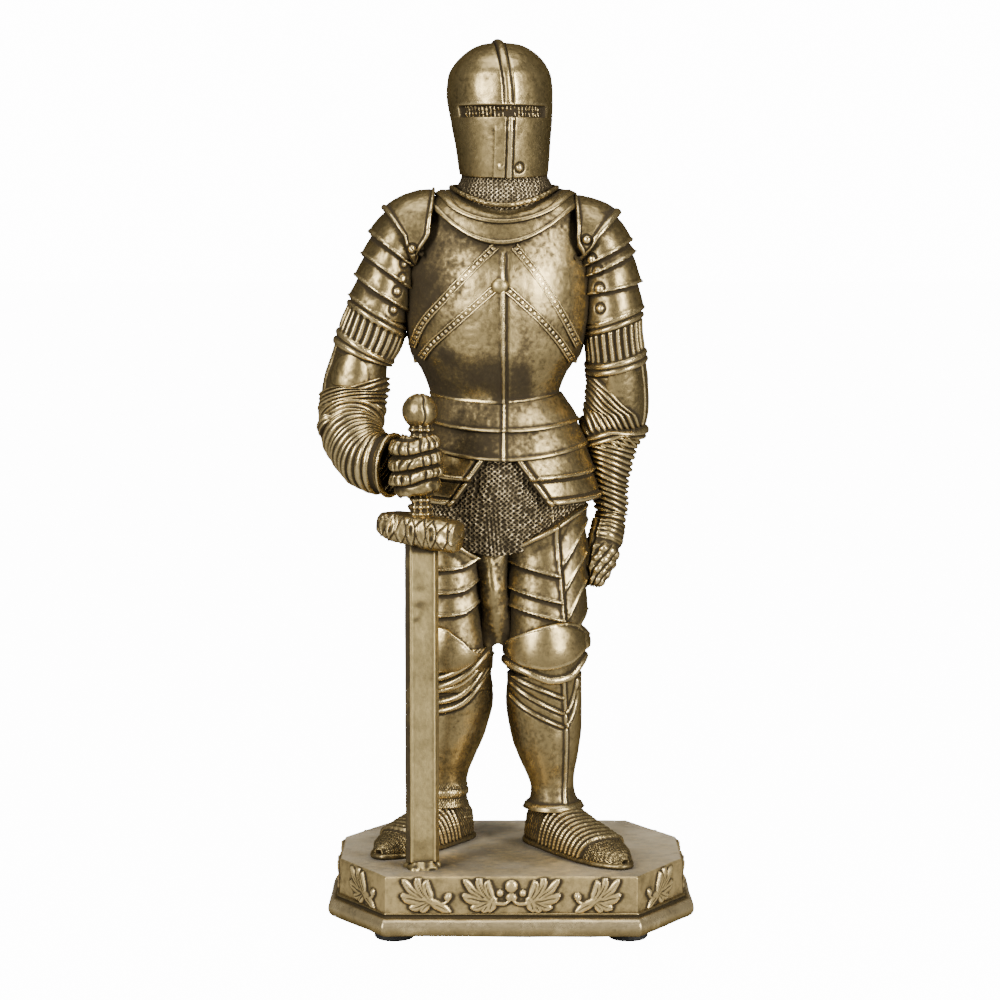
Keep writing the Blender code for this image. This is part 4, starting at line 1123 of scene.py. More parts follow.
SKIRT = [
    (106.0, -4.6, 4.0, 24.0, 12.6),
    (116.0, -4.4, 4.6, 25.4, 13.8),
    (125.0, -3.8, 5.2, 26.0, 15.4),
    (135.0, -3.0, 5.5, 26.0, 17.4),
    (142.0, -2.4, 5.8, 25.0, 17.4),
    (150.0, -2.4, 6.0, 23.0, 16.4),
]
TASSETS = [
    (128.0, -2.2, 5.3, 31.2, 20.9),
    (135.0, -2.3, 5.5, 29.2, 20.8),
    (142.0, -2.4, 5.8, 26.8, 19.4),
    (150.0, -2.4, 6.0, 24.6, 18.0),
]
FAULD = [
    (143.0, -2.4, 6.0, 25.4, 18.4),
    (148.0, -2.3, 6.0, 24.4, 17.8),
    (153.0, -2.3, 6.0, 22.4, 16.8),
    (158.0, -3.0, 6.0, 21.2, 15.8),
    (165.0, -4.6, 6.0, 19.0, 14.2),
]


def make_skirt():
    turn = round_turns(23.0, MAIL_FINE)
    hem = lambda t: 115.0 + 8.0 * abs(math.sin(math.radians(t))) ** 1.5
    at, _, _ = edged(turn, hem, lambda t: 148.5, 128)
    relief = Relief(Skin(SKIRT).point(turn[None, :], at), True)
    off_pleat = relief.x + 5.2 + 0.08 * (relief.z - 120.0)
    pleat = smoothstep(3.4, 1.6, np.abs(off_pleat)) * relief.facing() * smoothstep(132.0, 126.0, relief.z)
    relief.height += pleat * (0.3 + 0.16 * np.cos(2 * math.pi * off_pleat / 1.15))
    around = relief.over(np.radians(turn) * 23.0)
    relief.height += mail(around, relief.z, 1.6, 0.8) * (1 - 0.45 * pleat)
    relief.height += 0.35 * noise(relief.points, 6.0, 71)
    relief.grime_and_shade += 0.12
    cast("mail_skirt", relief, MAIL, 1.0)


def make_fauld():
    """The two lames round the waist, with a keel down their front."""
    fauld = Skin(FAULD)
    turn = round_turns(21.5)
    upper_low = lambda t: 155.6 - front_dip(t, 2.6)
    for name, low, high, keel_x, seed in (
        ("fauld_upper", upper_low, lambda t: 164.6 - front_dip(t, 2.6), -2.2, 73),
        ("fauld_lower", lambda t: 148.4 - front_dip(t, 4.0), lambda t: upper_low(t) + 1.2, -2.3, 75),
    ):
        at, bottom, top = edged(turn, low, high, 34)
        relief = Relief(fauld.point(turn[None, :], at, 1.2), True)
        above = at - bottom
        relief.height += 0.9 * (1 - above / (top - bottom)) + bead(above - 0.55, 0.65, 0.3)
        keel = np.abs(relief.x - keel_x)
        front = relief.facing()
        ridge = bead(keel, 0.5, 0.4) + 0.8 * np.exp(-((keel / 4.0) ** 1.3)) + dent(keel - 0.8, 0.25, 0.25)
        relief.height += ridge * front
        # Painted shade: darker on the figure's right of the keel, and in a band on the keel's shaded side.
        off_keel = relief.x + 2.3
        relief.grime_and_shade += (0.4 * smoothstep(1.0, -3.0, off_keel) + 0.3 * hill(off_keel - 2.0, 2.4)) * front
        relief.grime_and_shade += 0.12 + 0.25 * np.clip(noise(relief.points, 6.0, 70), 0, 1)
        relief.weather(0.1, seed)
        cast(name, relief)


def make_tassets():
    plates = Skin(TASSETS)
    share = np.linspace(0, 1, 64)[:, None]
    spread = np.linspace(0, 1, 150)[None, :]
    middle = 7.6  # height of the step between a tasset's two lames
    for name, sign, tuck in (("tasset_left", 1, 6.0), ("tasset_right", -1, 10.0)):
        start = tuck + 21.0 * (1 - share)
        turn = start + (88.0 - start) * spread
        top = 146.2 + 4.2 * np.sin(np.radians(turn)) ** 2
        bottom = 130.6 + 1.6 * (turn - start) / 60.0
        at = bottom * (1 - share) + top * share
        points = plates.point(turn * sign, at)
        relief = Relief(points[:, ::sign], False)
        level = (at - bottom)[:, ::sign]
        upper = smoothstep(middle - 0.15, middle + 0.15, level)
        relief.height += upper * (1.3 - 0.09 * (level - middle)) + (1 - upper) * 0.35
        relief.height += bead(level - 1.0, 0.75, 0.75) + dent(level - 2.2, 0.35, 0.35)
        relief.height += bead(level - middle - 0.5, 0.5, 0.3) + dent(level - middle + 0.35, 0.35, 0.4)
        side = 30.0 * spread[:, ::sign]
        relief.height += bead(side - 0.9, 0.8, 0.7) + dent(side - 2.2, 0.4, 0.35)
        relief.weather(0.1, 77)
        cast(name, relief, ARMOUR, 1.6)

    relief = plate_relief(plates, 112.0, 248.0, lambda t: 132.0, lambda t: 148.5, 0.2)
    relief.height += 0.4 + shingles(relief.at, [140.2, 132.0], 1.2, 0.5)
    relief.height += bead(relief.from_sides - 0.8, 0.8, 0.6)
    relief.weather(0.1, 79)
    cast("culet", relief)


# ---------------------------------------------------------------- torso

TORSO = [
    (128.6, -3.0, 6.0, 25.5, 15.5),
    (150.0, -2.6, 6.0, 20.5, 14.5),
    (157.0, -3.6, 6.0, 18.0, 13.0),
    (163.0, -5.1, 6.0, 17.8, 13.0),
    (170.0, -5.0, 6.0, 20.0, 15.3),
    (178.0, -4.6, 6.0, 24.6, 17.3),
    (190.0, -4.0, 6.0, 27.2, 18.2),
    (200.0, -3.8, 6.0, 27.4, 18.0),
    (206.0, -3.4, 6.0, 26.8, 16.8),
    (212.0, -3.0, 6.0, 25.8, 15.6),
    (217.0, -2.7, 5.6, 24.4, 14.4),
    (221.0, -2.4, 5.0, 22.0, 13.4),
    (225.0, -1.9, 4.6, 18.0, 13.2),
    (230.0, -1.8, 4.2, 15.4, 13.0),
]
KEEL_X = -2.5
KEEL_RISE = 1.9
NECK = [
    (219.6, -1.8, 4.4, 15.0, 14.2),
    (224.0, -1.8, 4.0, 15.0, 13.8),
    (227.5, -1.8, 3.8, 14.2, 13.4),
    (230.0, -1.9, 3.6, 13.0, 13.2),
    (233.5, -2.1, 3.5, 12.2, 13.0),
]
STRAP_HALF = 1.35  # half a strap's width
STRAP_OUT = 2.45  # how far the straps lie over the skin of the torso
BOSS = (-3.4, 197.7)
STRAPS = {
    "strap_upper_right": [(-4.8, 209.6), (-12.4, 202.0), (-20.6, 193.4), (-27.0, 186.0), (-30.4, 179.0)],
    "strap_upper_left": [(1.0, 209.6), (5.2, 204.2), (9.6, 198.0), (15.6, 188.6), (20.6, 179.2)],
    "strap_lower_right": [(-5.4, 196.6), (-12.6, 190.2), (-20.0, 183.7), (-24.6, 179.4), (-27.4, 175.6)],
    "strap_lower_left": [(-1.2, 196.6), (4.4, 191.6), (10.2, 186.1), (15.0, 180.4), (18.6, 174.8)],
}


def front_turn(skin, x, at, out):
    """The turn of the point of a skin's front at x."""
    radii = skin.read(skin.radii, at)[..., 0] + out
    centre = skin.read(skin.line, at)[..., 0]
    return np.degrees(np.arcsin(np.clip((x - centre) / radii, -0.999, 0.999)))


def keel(off_keel, z):
    """How far the chest stands out towards its middle line."""
    return KEEL_RISE * np.exp(-((np.abs(off_keel) / 8.0) ** 1.2)) * smoothstep(212, 196, z)


def make_torso():
    torso = Skin(TORSO)
    low = lambda t: 161.6 + 2.0 * math.sin(math.radians(t)) ** 2
    relief = plate_relief(torso, -97.0, 97.0, low, lambda t: 220.5, 2.0)
    front, z = relief.facing(), relief.z
    off_keel = relief.x - KEEL_X
    line = bead(off_keel, 0.55, 0.5) + dent(off_keel - 0.95, 0.4, 0.35)
    relief.height += (keel(off_keel, z) + line * smoothstep(208.5, 206.5, z)) * front
    for side in (-1, 1):
        chest = np.hypot((off_keel - side * 12.0) / 11.0, (z - 197.0) / 15.0)
        relief.height += 0.9 * hill(chest, 1.0) * front
    relief.height += bead(relief.from_low - 0.6, 0.7, 0.3)
    # Darker towards the lower edge, in patches, most on the figure's right.
    darker_low = smoothstep(182.0, 174.0, z + 4.0 * noise(relief.points, 7.0, 81)) * front
    patch = np.clip(1.7 * noise(relief.points, 9.0, 83) + 0.5, 0, 1)
    left_share = 0.85 * smoothstep(11.0, 6.0, np.abs(off_keel))
    relief.grime_and_shade += darker_low * patch * np.where(off_keel < 0, 1.05, left_share)
    # Painted shade by the right armhole, next to the arm.
    relief.grime_and_shade += 0.7 * hill(z - 197.0, 12.0) * hill(off_keel + 26.0, 6.0)
    # Darker on the upper panel on the figure's right, and painted shade along the top edge, under the gorget.
    right_top = smoothstep(-1.0, -5.0, off_keel) * smoothstep(192.0, 206.0, z - 0.9 * off_keel - 9.0)
    relief.grime_and_shade += 0.32 * right_top * front + 0.2 * smoothstep(206.0, 211.0, z)
    # Painted shade on the sides that turn away from the front, and more on the figure's left side.
    relief.grime_and_shade += 0.15 * smoothstep(62.0, 92.0, np.abs(relief.turn))
    relief.grime_and_shade += 0.4 * smoothstep(42.0, 80.0, relief.turn)
    relief.weather(0.11, 85)
    cast("breastplate", relief)

    relief = plate_relief(torso, 84.0, 276.0, low, lambda t: 221.5, 1.6)
    off_spine = (relief.turn - 180) / DEGREES * 24
    relief.height += dent(off_spine, 3.0, 1.2) * smoothstep(214, 200, relief.z)
    for side in (-1, 1):
        blade = np.hypot((off_spine - side * 12.0) / 8.0, (relief.z - 200.0) / 13.0)
        relief.height += 1.2 * hill(blade, 1.0)
    relief.height += shingles(relief.at, [186.0, 174.0], 0.9, 0.4) * smoothstep(190, 186, relief.z)
    relief.height += bead(relief.from_low - 0.7, 0.9, 0.55)
    # Darker towards the lower edge.
    relief.grime_and_shade += 0.35 * smoothstep(183.0, 170.0, relief.z + 4.0 * noise(relief.points, 7.0, 87))
    relief.weather(0.11, 89)
    cast("backplate", relief)

    for number, (name, route) in enumerate(STRAPS.items()):
        make_strap(name, torso, route, 91 + number)
    make_boss(torso)

    core = ring_relief(torso, 129.5, 219.0, -0.8, 0.9)
    core.weather(0.2, 97)
    cast("body_core", core, MAIL)
    make_gorget(torso)


def make_strap(name, torso, route, seed):
    """A studded strap with raised rims, laid over the breastplate."""
    route = np.array(route)
    length = run_of(route)
    run = np.arange(0, length[-1], 0.16)
    middle = np.stack([smooth_value(length, route[:, i], run) for i in (0, 1)], -1)
    way = np.gradient(middle, axis=0)
    way /= np.linalg.norm(way, axis=1)[:, None]
    side = np.stack([-way[:, 1], way[:, 0]], -1)
    if side[0, 1] < 0:
        side = -side
    across = np.linspace(-STRAP_HALF, STRAP_HALF, 19)[:, None]
    flat = middle + across[..., None] * side
    turn = front_turn(torso, flat[..., 0], flat[..., 1], STRAP_OUT)
    points = torso.point(turn, flat[..., 1], STRAP_OUT)
    if outward_of(points, False)[..., 1].mean() > 0:
        points = points[:, ::-1]
        run = run[::-1]
    relief = Relief(points, False)
    relief.height += bead(np.abs(across) - 1.0, 0.36, 0.55)
    stud = np.maximum(row_gap(run, 1.65), np.abs(across))
    relief.height += 0.5 * smoothstep(0.62, 0.42, stud) + keel(relief.x - KEEL_X, relief.z)
    relief.weather(0.05, seed)
    cast(name, relief, ARMOUR, 1.6)


def make_boss(torso):
    """The round boss where the lower straps meet."""
    x, y, z = torso.point(front_turn(torso, *BOSS, 2.0), BOSS[1], 3.4)
    lift = np.radians(np.linspace(-8, 89, 40))[:, None]
    angle = circle(90)
    x = x + 2.75 * np.cos(lift) * np.cos(angle)
    z = z + 2.55 * np.cos(lift) * np.sin(angle)
    relief = facing_out(grid_relief(x, y - 2.0 * np.sin(lift), z).points, True, (0.0, -1.0, 0.0))
    relief.weather(0.08, 99)
    cast("chest_boss", relief, BLADE, 0.5)


def ring_height(turn):
    return 226.6 - front_dip(turn, 5.4) + front_dip(turn + 180.0, 1.6)


def make_gorget(torso):
    """The collar: a plate, a collar over it, a rough ring and the mail of the neck."""
    turn = round_turns(21.0)
    share = np.linspace(0, 1, 40)[:, None]
    plate_low = lambda t: 222.0 - front_dip(t, 11.7, 4) - front_dip(t + 180, 8.6)
    collar_low = lambda t: 225.6 - front_dip(t, 9.0, 3)
    for name, low, high, out, tuck, seed in (
        ("gorget_plate", plate_low, lambda t: collar_low(t) + 1.4, 3.1, 0.0, 101),
        ("gorget_collar", collar_low, lambda t: ring_height(t) + 0.6, 3.3, 3.0, 103),
    ):
        at, bottom, _ = edged(turn, low, high, len(share))
        lean = 0.9 * (1 - share) - tuck * share**2
        relief = Relief(torso.point(turn[None, :], at, out + lean), True)
        relief.height += bead(at - bottom - 0.6, 0.6, 0.3)
        # Painted shade along the top of each tier, where it tucks under the next.
        relief.grime_and_shade += 0.5 * smoothstep(0.72, 1.0, share)
        relief.weather(0.09, seed)
        cast(name, relief)

    turn = np.linspace(-180, 180, 420, endpoint=False)
    angle = np.radians(turn)
    height = np.array([ring_height(t) for t in turn]) + 0.9
    round_it = circle(30) - math.pi / 2
    round_it = np.append(round_it, round_it[0])[:, None]
    x = -2.1 + (16.2 + 0.62 * np.cos(round_it)) * np.sin(angle)
    y = 3.6 - (15.6 + 0.62 * np.cos(round_it)) * np.cos(angle)
    relief = grid_relief(x, y, height + 0.62 * np.sin(round_it))
    v = np.linspace(0, 6, len(round_it))[:, None]
    relief.height += mail(relief.over(angle * 16.0), relief.over(v), 1.5, 0.2)
    relief.height += 0.16 * noise(relief.points, 1.3, 105)
    cast("neck_ring", relief, ARMOUR, 0.2)

    relief = ring_relief(Skin(NECK), 219.7, 233.2, 0.0, MAIL_FINE)
    relief.height += mail(relief.along, relief.z, 1.4, 0.55) + 0.18 * noise(relief.points, 4.0, 107)
    cast("mail_aventail", relief, MAIL)


# ---------------------------------------------------------------- helmet

HELMET = [
    (231.6, -2.2, 3.4, 13.6, 14.8),
    (239.5, -2.5, 3.3, 14.5, 16.6),
    (248.0, -3.0, 3.2, 15.6, 17.9),
    (256.0, -3.5, 3.2, 16.3, 18.4),
    (261.0, -3.5, 3.2, 15.8, 17.8),
    (264.5, -3.4, 3.2, 14.2, 16.0),
    (267.5, -3.3, 3.2, 11.6, 13.0),
    (269.6, -3.2, 3.2, 8.6, 9.6),
    (271.0, -3.1, 3.2, 5.0, 5.6),
    (271.6, -3.0, 3.2, 0.05, 0.05),
]
SLOT_TURNS = (-52.5, 58.5)  # the ends of the eye slot
RIDGE_TURN = 9.2
GIRTH = 16.8  # radius that turns are measured on


def even_heights(skin, low, high, spacing):
    """Heights that step evenly along a skin's side, so that a dome's top isn't coarse."""
    at = np.linspace(low, high, 3000)
    line = skin.point(90.0, at)
    run = run_of(line)
    return np.interp(np.linspace(0, run[-1], int(run[-1] / spacing)), run, at)


def sideways(relief):
    """Distance to the figure's left of the plane through the helmet's ridge."""
    a = math.radians(RIDGE_TURN)
    return (relief.x + 3.1) * math.cos(a) + (relief.y - 3.2) * math.sin(a)


def comb_lean(height):
    """How far the comb lies to the right of the ridge's plane towards the crown."""
    return 1.3 * smoothstep(254.0, 270.0, height)


def make_helmet():
    helmet = Skin(HELMET)
    turn = round_turns(17.0, 0.32)

    def part(low, high):
        at = even_heights(helmet, low, high, 0.3)[:, None]
        relief = Relief(helmet.point(turn[None, :], at), True)
        return relief, sideways(relief), smoothstep(0.1, -0.2, relief.outward[..., 1])

    relief, off, ahead = part(231.6, 248.3)
    dip = 1.3 * smoothstep(-0.2, 1.0, -relief.outward[..., 1]) * smoothstep(246.0, 231.6, relief.z)
    relief.points[..., 2] -= dip
    band = smoothstep(0.85, 0.6, np.abs(off)) * ahead
    relief.height += 0.4 * band + dent(np.abs(off) - 1.05, 0.28, 0.5) * ahead
    relief.height += 0.6 * hill(off, 3.5) * ahead
    panel = smoothstep(3.2, 2.8, np.abs(off + 1.6)) * smoothstep(246.6, 244.0, relief.z)
    relief.height += 0.22 * panel * ahead
    relief.rivet(2.4, 233.3, 1.2)
    relief.height += bead(relief.near(-3.2, 233.6), 0.95, 0.3)
    # Painted light and shade: lighter where it faces the front, darker round the sides and back.
    relief.grime_and_shade += 0.22 * (1 - ahead) - 0.22 * ahead
    relief.weather(0.08, 111)
    cast("helmet_visor", relief, ARMOUR, 2.0)

    relief, off, ahead = part(247.2, 271.6)
    girth = np.radians(turn) * GIRTH
    left, right = np.radians(SLOT_TURNS) * GIRTH
    inside = np.minimum(np.minimum(girth - left, right - girth), 1.75 - np.abs(relief.z - 250.0))
    relief.height -= 1.7 * smoothstep(-0.12, 0.25, inside)
    # Painted shade: the eye slot is darkened like a dark opening into the helmet.
    relief.grime_and_shade += 2.0 * smoothstep(-0.5, -0.1, inside)
    relief.height += 0.5 * hill(off, 4.0) * ahead * smoothstep(270, 262, relief.z)
    relief.height -= 0.25 * smoothstep(248.6, 248.1, relief.z)
    behind = relief.outward[..., 1] > 0
    comb = helmet.point(np.where(behind, RIDGE_TURN + 180.0, RIDGE_TURN), relief.z)
    beside = np.abs(relief.x - (comb[..., 0] - comb_lean(relief.z))) - 1.3
    relief.height += dent(beside, 0.34, 0.5) * np.where(behind, relief.z > 247.0, relief.z > 252.2)
    # Painted light and shade: darker round the sides and back, mostly low down, and lighter in front.
    relief.grime_and_shade += 0.22 * (1 - ahead) * smoothstep(268, 255, relief.z) - 0.16 * ahead
    relief.weather(0.09, 113)
    cast("helmet_bowl", relief, ARMOUR, 2.0)

    first, last = SLOT_TURNS[0] + 1, SLOT_TURNS[1] - 1
    relief = plate_relief(helmet, first, last, lambda t: 248.4, lambda t: 251.6, -1.5, 0.16)
    bars = bead(row_gap(relief.along, 1.3), 0.34, 0.6)
    relief.height += bars * (0.7 + 0.7 * noise(relief.points, 1.2, 114))
    relief.height += 0.25 * noise(relief.points, 0.8, 115) + dent(relief.at - 250.0, 0.3, 0.25)
    # Painted shade: the grille in the eye slot is darkened, most at its ends.
    relief.grime_and_shade += 0.5 + 1.5 * smoothstep(1.4, 0.4, relief.from_sides)
    cast("eye_grille", relief, ARMOUR, 0.3)
    make_comb(helmet)


def make_comb(helmet):
    """The band over the top of the helmet, highest at the crown."""
    heights = np.linspace(252.6, 271.55, 400)
    rise = helmet.point(RIDGE_TURN, heights)
    fall = helmet.point(RIDGE_TURN + 180.0, np.linspace(271.55, 244.0, 400))
    path = np.concatenate([rise, fall])
    run = run_of(path)
    even = np.arange(0, run[-1], 0.3)
    path = np.stack([np.interp(even, run, path[:, i]) for i in range(3)], -1)
    path[:, 0] -= comb_lean(path[:, 2])
    for _ in range(30):
        path[1:-1] = 0.25 * path[:-2] + 0.5 * path[1:-1] + 0.25 * path[2:]
    a = math.radians(RIDGE_TURN)
    side = np.array([math.cos(a), math.sin(a), 0.0])
    way = np.gradient(path, axis=0)
    up = np.cross(side, way)
    up /= np.linalg.norm(up, axis=1)[:, None]
    across = np.linspace(-1.0, 1.0, 25)
    half = 0.95 + 0.3 * smoothstep(256, 268, path[:, 2])
    points = path[:, None, :] + across[None, :, None] * half[:, None, None] * side + 0.15 * up[:, None, :]
    relief = facing_out(points, False, up[:, None, :])
    crown = smoothstep(262.0, 270.5, relief.z)
    relief.height += 0.25 + (0.3 + 0.35 * crown) * (1 - np.abs(across) ** 2.2)
    relief.weather(0.07, 117)
    cast("helmet_comb", relief, ARMOUR, 1.2)


# ---------------------------------------------------------------- arms

# (distance, x, y, z, half width, half depth), from the wrist to the shoulder
RIGHT_ARM = [
    (0.0, -35.6, -19.5, 143.8, 7.6, 8.2),
    (8.0, -41.6, -16.0, 144.6, 8.2, 8.6),
    (17.0, -46.2, -9.6, 148.0, 8.3, 8.6),
    (26.0, -49.0, -2.5, 152.8, 8.6, 9.0),
    (34.0, -49.2, 3.0, 158.5, 9.6, 9.8),
    (43.0, -48.2, 5.0, 166.5, 9.8, 9.8),
    (52.0, -46.4, 5.0, 175.0, 8.8, 9.6),
    (60.0, -43.0, 4.6, 183.0, 9.7, 10.0),
    (68.0, -40.6, 4.4, 191.0, 8.8, 10.4),
    (76.0, -38.6, 4.6, 199.0, 8.5, 11.2),
    (84.0, -37.0, 5.0, 206.0, 7.8, 11.8),
    (92.0, -33.0, 5.4, 212.3, 9.0, 12.2),
    (99.5, -26.6, 5.6, 214.8, 9.8, 12.2),
    (107.5, -18.4, 6.0, 215.9, 8.8, 11.4),
]
LEFT_ARM = [
    (-2.0, 31.6, 9.4, 125.0, 4.2, 4.6),
    (9.0, 31.0, 10.5, 136.0, 5.2, 5.8),
    (18.0, 31.2, 10.5, 145.0, 7.0, 7.0),
    (26.0, 31.2, 10.5, 152.0, 9.2, 8.8),
    (33.0, 33.0, 10.0, 159.0, 9.6, 9.6),
    (40.0, 33.3, 8.8, 166.0, 9.2, 9.6),
    (49.0, 32.5, 7.2, 175.0, 8.8, 9.8),
    (57.0, 31.6, 6.2, 183.0, 8.6, 10.0),
    (65.0, 31.2, 5.8, 191.0, 8.6, 10.4),
    (73.0, 30.5, 5.8, 199.0, 8.4, 11.2),
    (80.0, 28.9, 5.8, 206.0, 8.4, 11.8),
    (88.0, 25.8, 5.8, 211.8, 9.0, 12.2),
    (94.5, 20.8, 6.0, 213.6, 9.2, 12.0),
    (101.5, 14.2, 6.0, 215.0, 8.6, 11.4),
]
LEFT_HAND = [
    (0.0, 25.6, 2.2, 104.6, 1.3, 1.8),
    (2.0, 26.0, 2.6, 106.4, 2.4, 3.4),
    (8.0, 27.8, 4.4, 112.2, 4.2, 5.4),
    (14.0, 29.6, 6.4, 118.4, 4.7, 6.2),
    (20.0, 30.9, 8.4, 124.0, 4.4, 5.2),
    (23.0, 31.4, 9.0, 127.0, 4.4, 5.0),
]
ARMS = {
    "right": {
        "stations": RIGHT_ARM,
        "seed": 121,
        "cap": (0.0, 91.9, 84.0),
        "cap_rivet": (-30.2, 208.9),
        "lames": (65.5, 97.5),
        "lame_tilt": ([65.0, 72.0, 79.0, 83.0, 87.0], [0.26, 0.31, 0.49, 0.42, 0.18]),
        "lame_edges": [85.7, 78.2, 71.3, 65.8],
        "rivets": [(-32.6, 204.3), (-33.4, 200.3), (-34.9, 196.0), (-35.9, 190.6)],
        "band": (51.8, 68.2),
        "band_tilt": ([52.0, 56.0, 65.0], [0.04, 0.08, 0.26]),
        "band_rings": (65.3, 54.6),
        "flutes": (56.2, 63.8),
        "cannon": (38.0, 54.0),
        "cannon_ribs": (-74.0, -96.0),
        "bulge": ((-3.0, 47.0), (6.5, 6.0)),
    },
    "left": {
        "stations": LEFT_ARM,
        "seed": 141,
        "cap": (-5.6, 87.4, 81.8),
        "cap_rivet": (22.9, 211.6),
        "lames": (60.5, 94.0),
        "lame_tilt": ([62.0, 66.0, 71.0, 77.0, 82.0], [0.28, 0.2, 0.1, 0.2, 0.14]),
        "lame_edges": [80.6, 76.9, 70.2, 61.5],
        "rivets": [(24.9, 206.0), (26.5, 202.6), (27.3, 197.0), (27.3, 190.8)],
        "band": (45.0, 64.2),
        "band_tilt": ([46.0, 50.0, 60.0], [0.10, 0.12, 0.28]),
        "band_rings": (60.6, 48.0),
        "flutes": (49.8, 58.8),
        "cannon": (31.0, 47.5),
        "cannon_ribs": (62.0, 84.0),
        "bulge": ((1.5, 42.0), (6.0, 6.5)),
    },
}
FLUTE_PITCH = 2.45
FINGER_PITCH = 4.35
CAP_REACH = 47.0  # how far the shoulder cap's points reach in front and behind, in degrees


def arm_relief(side, low, high, out=0.0, spacing=FINE):
    """A band round an arm. outer is the distance to its outer side, from the middle of the arm."""
    arm = Skin(ARMS[side]["stations"])
    relief = ring_relief(arm, low, high, out, spacing)
    sign = 1 if side == "left" else -1
    relief.outer = sign * np.sin(np.radians(relief.turn)) * arm.girth(np.array([(low + high) / 2]))[0]
    return relief


def make_pauldron(side):
    """The shoulder cap. It comes to a point low in front and behind, and its rim is rolled."""
    plan = ARMS[side]
    lift, side_low, tip_low = plan["cap"]
    spread = np.linspace(-CAP_REACH, 180.0 + CAP_REACH, 330)
    inward = np.clip(np.maximum(-spread, spread - 180.0) / CAP_REACH, 0, 1)
    low = side_low - (side_low - tip_low) * inward**0.95
    high = lift + 101.0 + 3.0 * np.clip(np.sin(np.radians(spread)), 0, 1)
    high = high - (lift + 100.0 - tip_low) * inward**2.1
    share = np.linspace(0, 1, 58)[:, None]
    at = low * (1 - share) + np.maximum(high, low + 0.4) * share
    points = Skin(plan["stations"]).point(spread if side == "left" else -spread, at, 2.3)
    relief = facing_out(points, False, points - points.mean((0, 1)))
    span = np.linalg.norm(np.diff(relief.points, axis=0), axis=-1).sum(0)
    from_rim = np.minimum(share, 1 - share) * span
    relief.height += bead(from_rim - 0.6, 0.65, 0.6) + dent(from_rim - 1.5, 0.3, 0.12)
    relief.weather(0.12, plan["seed"])
    relief.rivet(*plan["cap_rivet"], 1.3)
    cast("pauldron_" + side, relief, ARMOUR, 2.4)


def double_ring(q, middle, gap=1.9, radius=0.95, height=1.25):
    q = q - middle
    return np.maximum(bead(q + gap / 2, radius, height), bead(q - gap / 2, radius, height))


def make_upper_arm(side):
    """The shoulder cap, the lames under it, the fluted band and the plain plate above the elbow."""
    plan = ARMS[side]
    seed = plan["seed"]
    make_pauldron(side)

    relief = arm_relief(side, *plan["lames"], 0.1)
    q = relief.at - np.interp(relief.at, *plan["lame_tilt"]) * relief.outer
    relief.height += shingles(q, plan["lame_edges"], 1.35, 0.4)
    for place in plan["rivets"]:
        relief.rivet(*place, 1.25)
    relief.weather(0.12, seed + 2)
    cast("shoulder_lames_" + side, relief)

    relief = arm_relief(side, *plan["band"])
    q = relief.at - np.interp(relief.at, *plan["band_tilt"]) * relief.outer
    low, high = plan["flutes"]
    fluted = smoothstep(low, low + 0.5, q) * smoothstep(high, high - 0.5, q)
    relief.height += fluted * (bead(row_gap(relief.along, FLUTE_PITCH), 0.36 * FLUTE_PITCH, 0.95) - 0.2)
    for middle in plan["band_rings"]:
        relief.height += double_ring(q, middle)
    relief.weather(0.06, seed + 4)
    cast("arm_band_" + side, relief)

    relief = arm_relief(side, *plan["cannon"], -0.2)
    for turn in plan["cannon_ribs"]:
        relief.height += bead((relief.turn - turn) / DEGREES * 9.0, 0.7, 0.6)
    relief.height += 0.5 * lobe(relief.turn / DEGREES * 9.0, relief.at, *plan["bulge"])
    relief.weather(0.13, seed + 6)
    cast("upper_cannon_" + side, relief)


def cords(q, pitch, radius, height, swell):
    """A row of cords, some of them thicker."""
    return bead(row_gap(q, pitch), radius, height) + 0.15 * np.cos(2 * math.pi * q / swell)


def make_right_arm():
    make_upper_arm("right")
    relief = arm_relief("right", 24.0, 47.5, -0.1, 0.28)
    tilt = np.interp(relief.at, [24.0, 32.0, 38.0, 44.0], [-0.1, 0.15, 0.55, 0.55])
    q = relief.at + tilt * relief.outer
    shown = smoothstep(44.4, 43.9, q)
    relief.height += shown * cords(q, 2.05, 0.86, 1.15, 6.3) - 1.8 * (1 - shown)
    relief.height += bead(relief.near(-56.5, 154.8), 3.4, 1.6)
    relief.weather(0.1, 129)
    cast("elbow_wraps_right", relief)

    relief = arm_relief("right", -1.0, 26.0, 0.0, 0.28)
    q = relief.at
    shown = smoothstep(4.2, 4.8, q)
    relief.height += shown * cords(q, 2.05, 0.86, 1.1, 5.7) + (1 - shown) * 0.6
    relief.height += bead(q - 0.7, 1.1, 1.3) + dent(q - 3.6, 0.8, 0.5)
    relief.weather(0.1, 131)
    cast("vambrace_right", relief, ARMOUR, 3.2)
    make_fist()


def make_left_arm():
    make_upper_arm("left")
    relief = arm_relief("left", 21.0, 45.0, -0.1, 0.28)
    q = relief.at + 0.95 * relief.outer
    shown = smoothstep(38.4, 37.9, q)
    relief.height += shown * cords(q, 2.15, 0.9, 1.15, 5.9) - 1.6 * (1 - shown)
    cuff = relief.at - 0.36 * relief.outer
    relief.height = np.maximum(relief.height, double_ring(cuff, 25.6, 2.0, 1.1, 2.1))
    relief.height += dent(cuff - 23.4, 0.5, 0.3) + dent(cuff - 28.0, 0.5, 0.3)
    relief.weather(0.1, 149)
    cast("elbow_wraps_left", relief)

    relief = arm_relief("left", -1.6, 25.0, 0.0, 0.28)
    relief.height += cords(relief.at + 0.45 * relief.outer, 1.85, 0.78, 1.0, 5.2)
    relief.weather(0.1, 151)
    cast("vambrace_left", relief, ARMOUR, 3.0)
    make_left_hand()


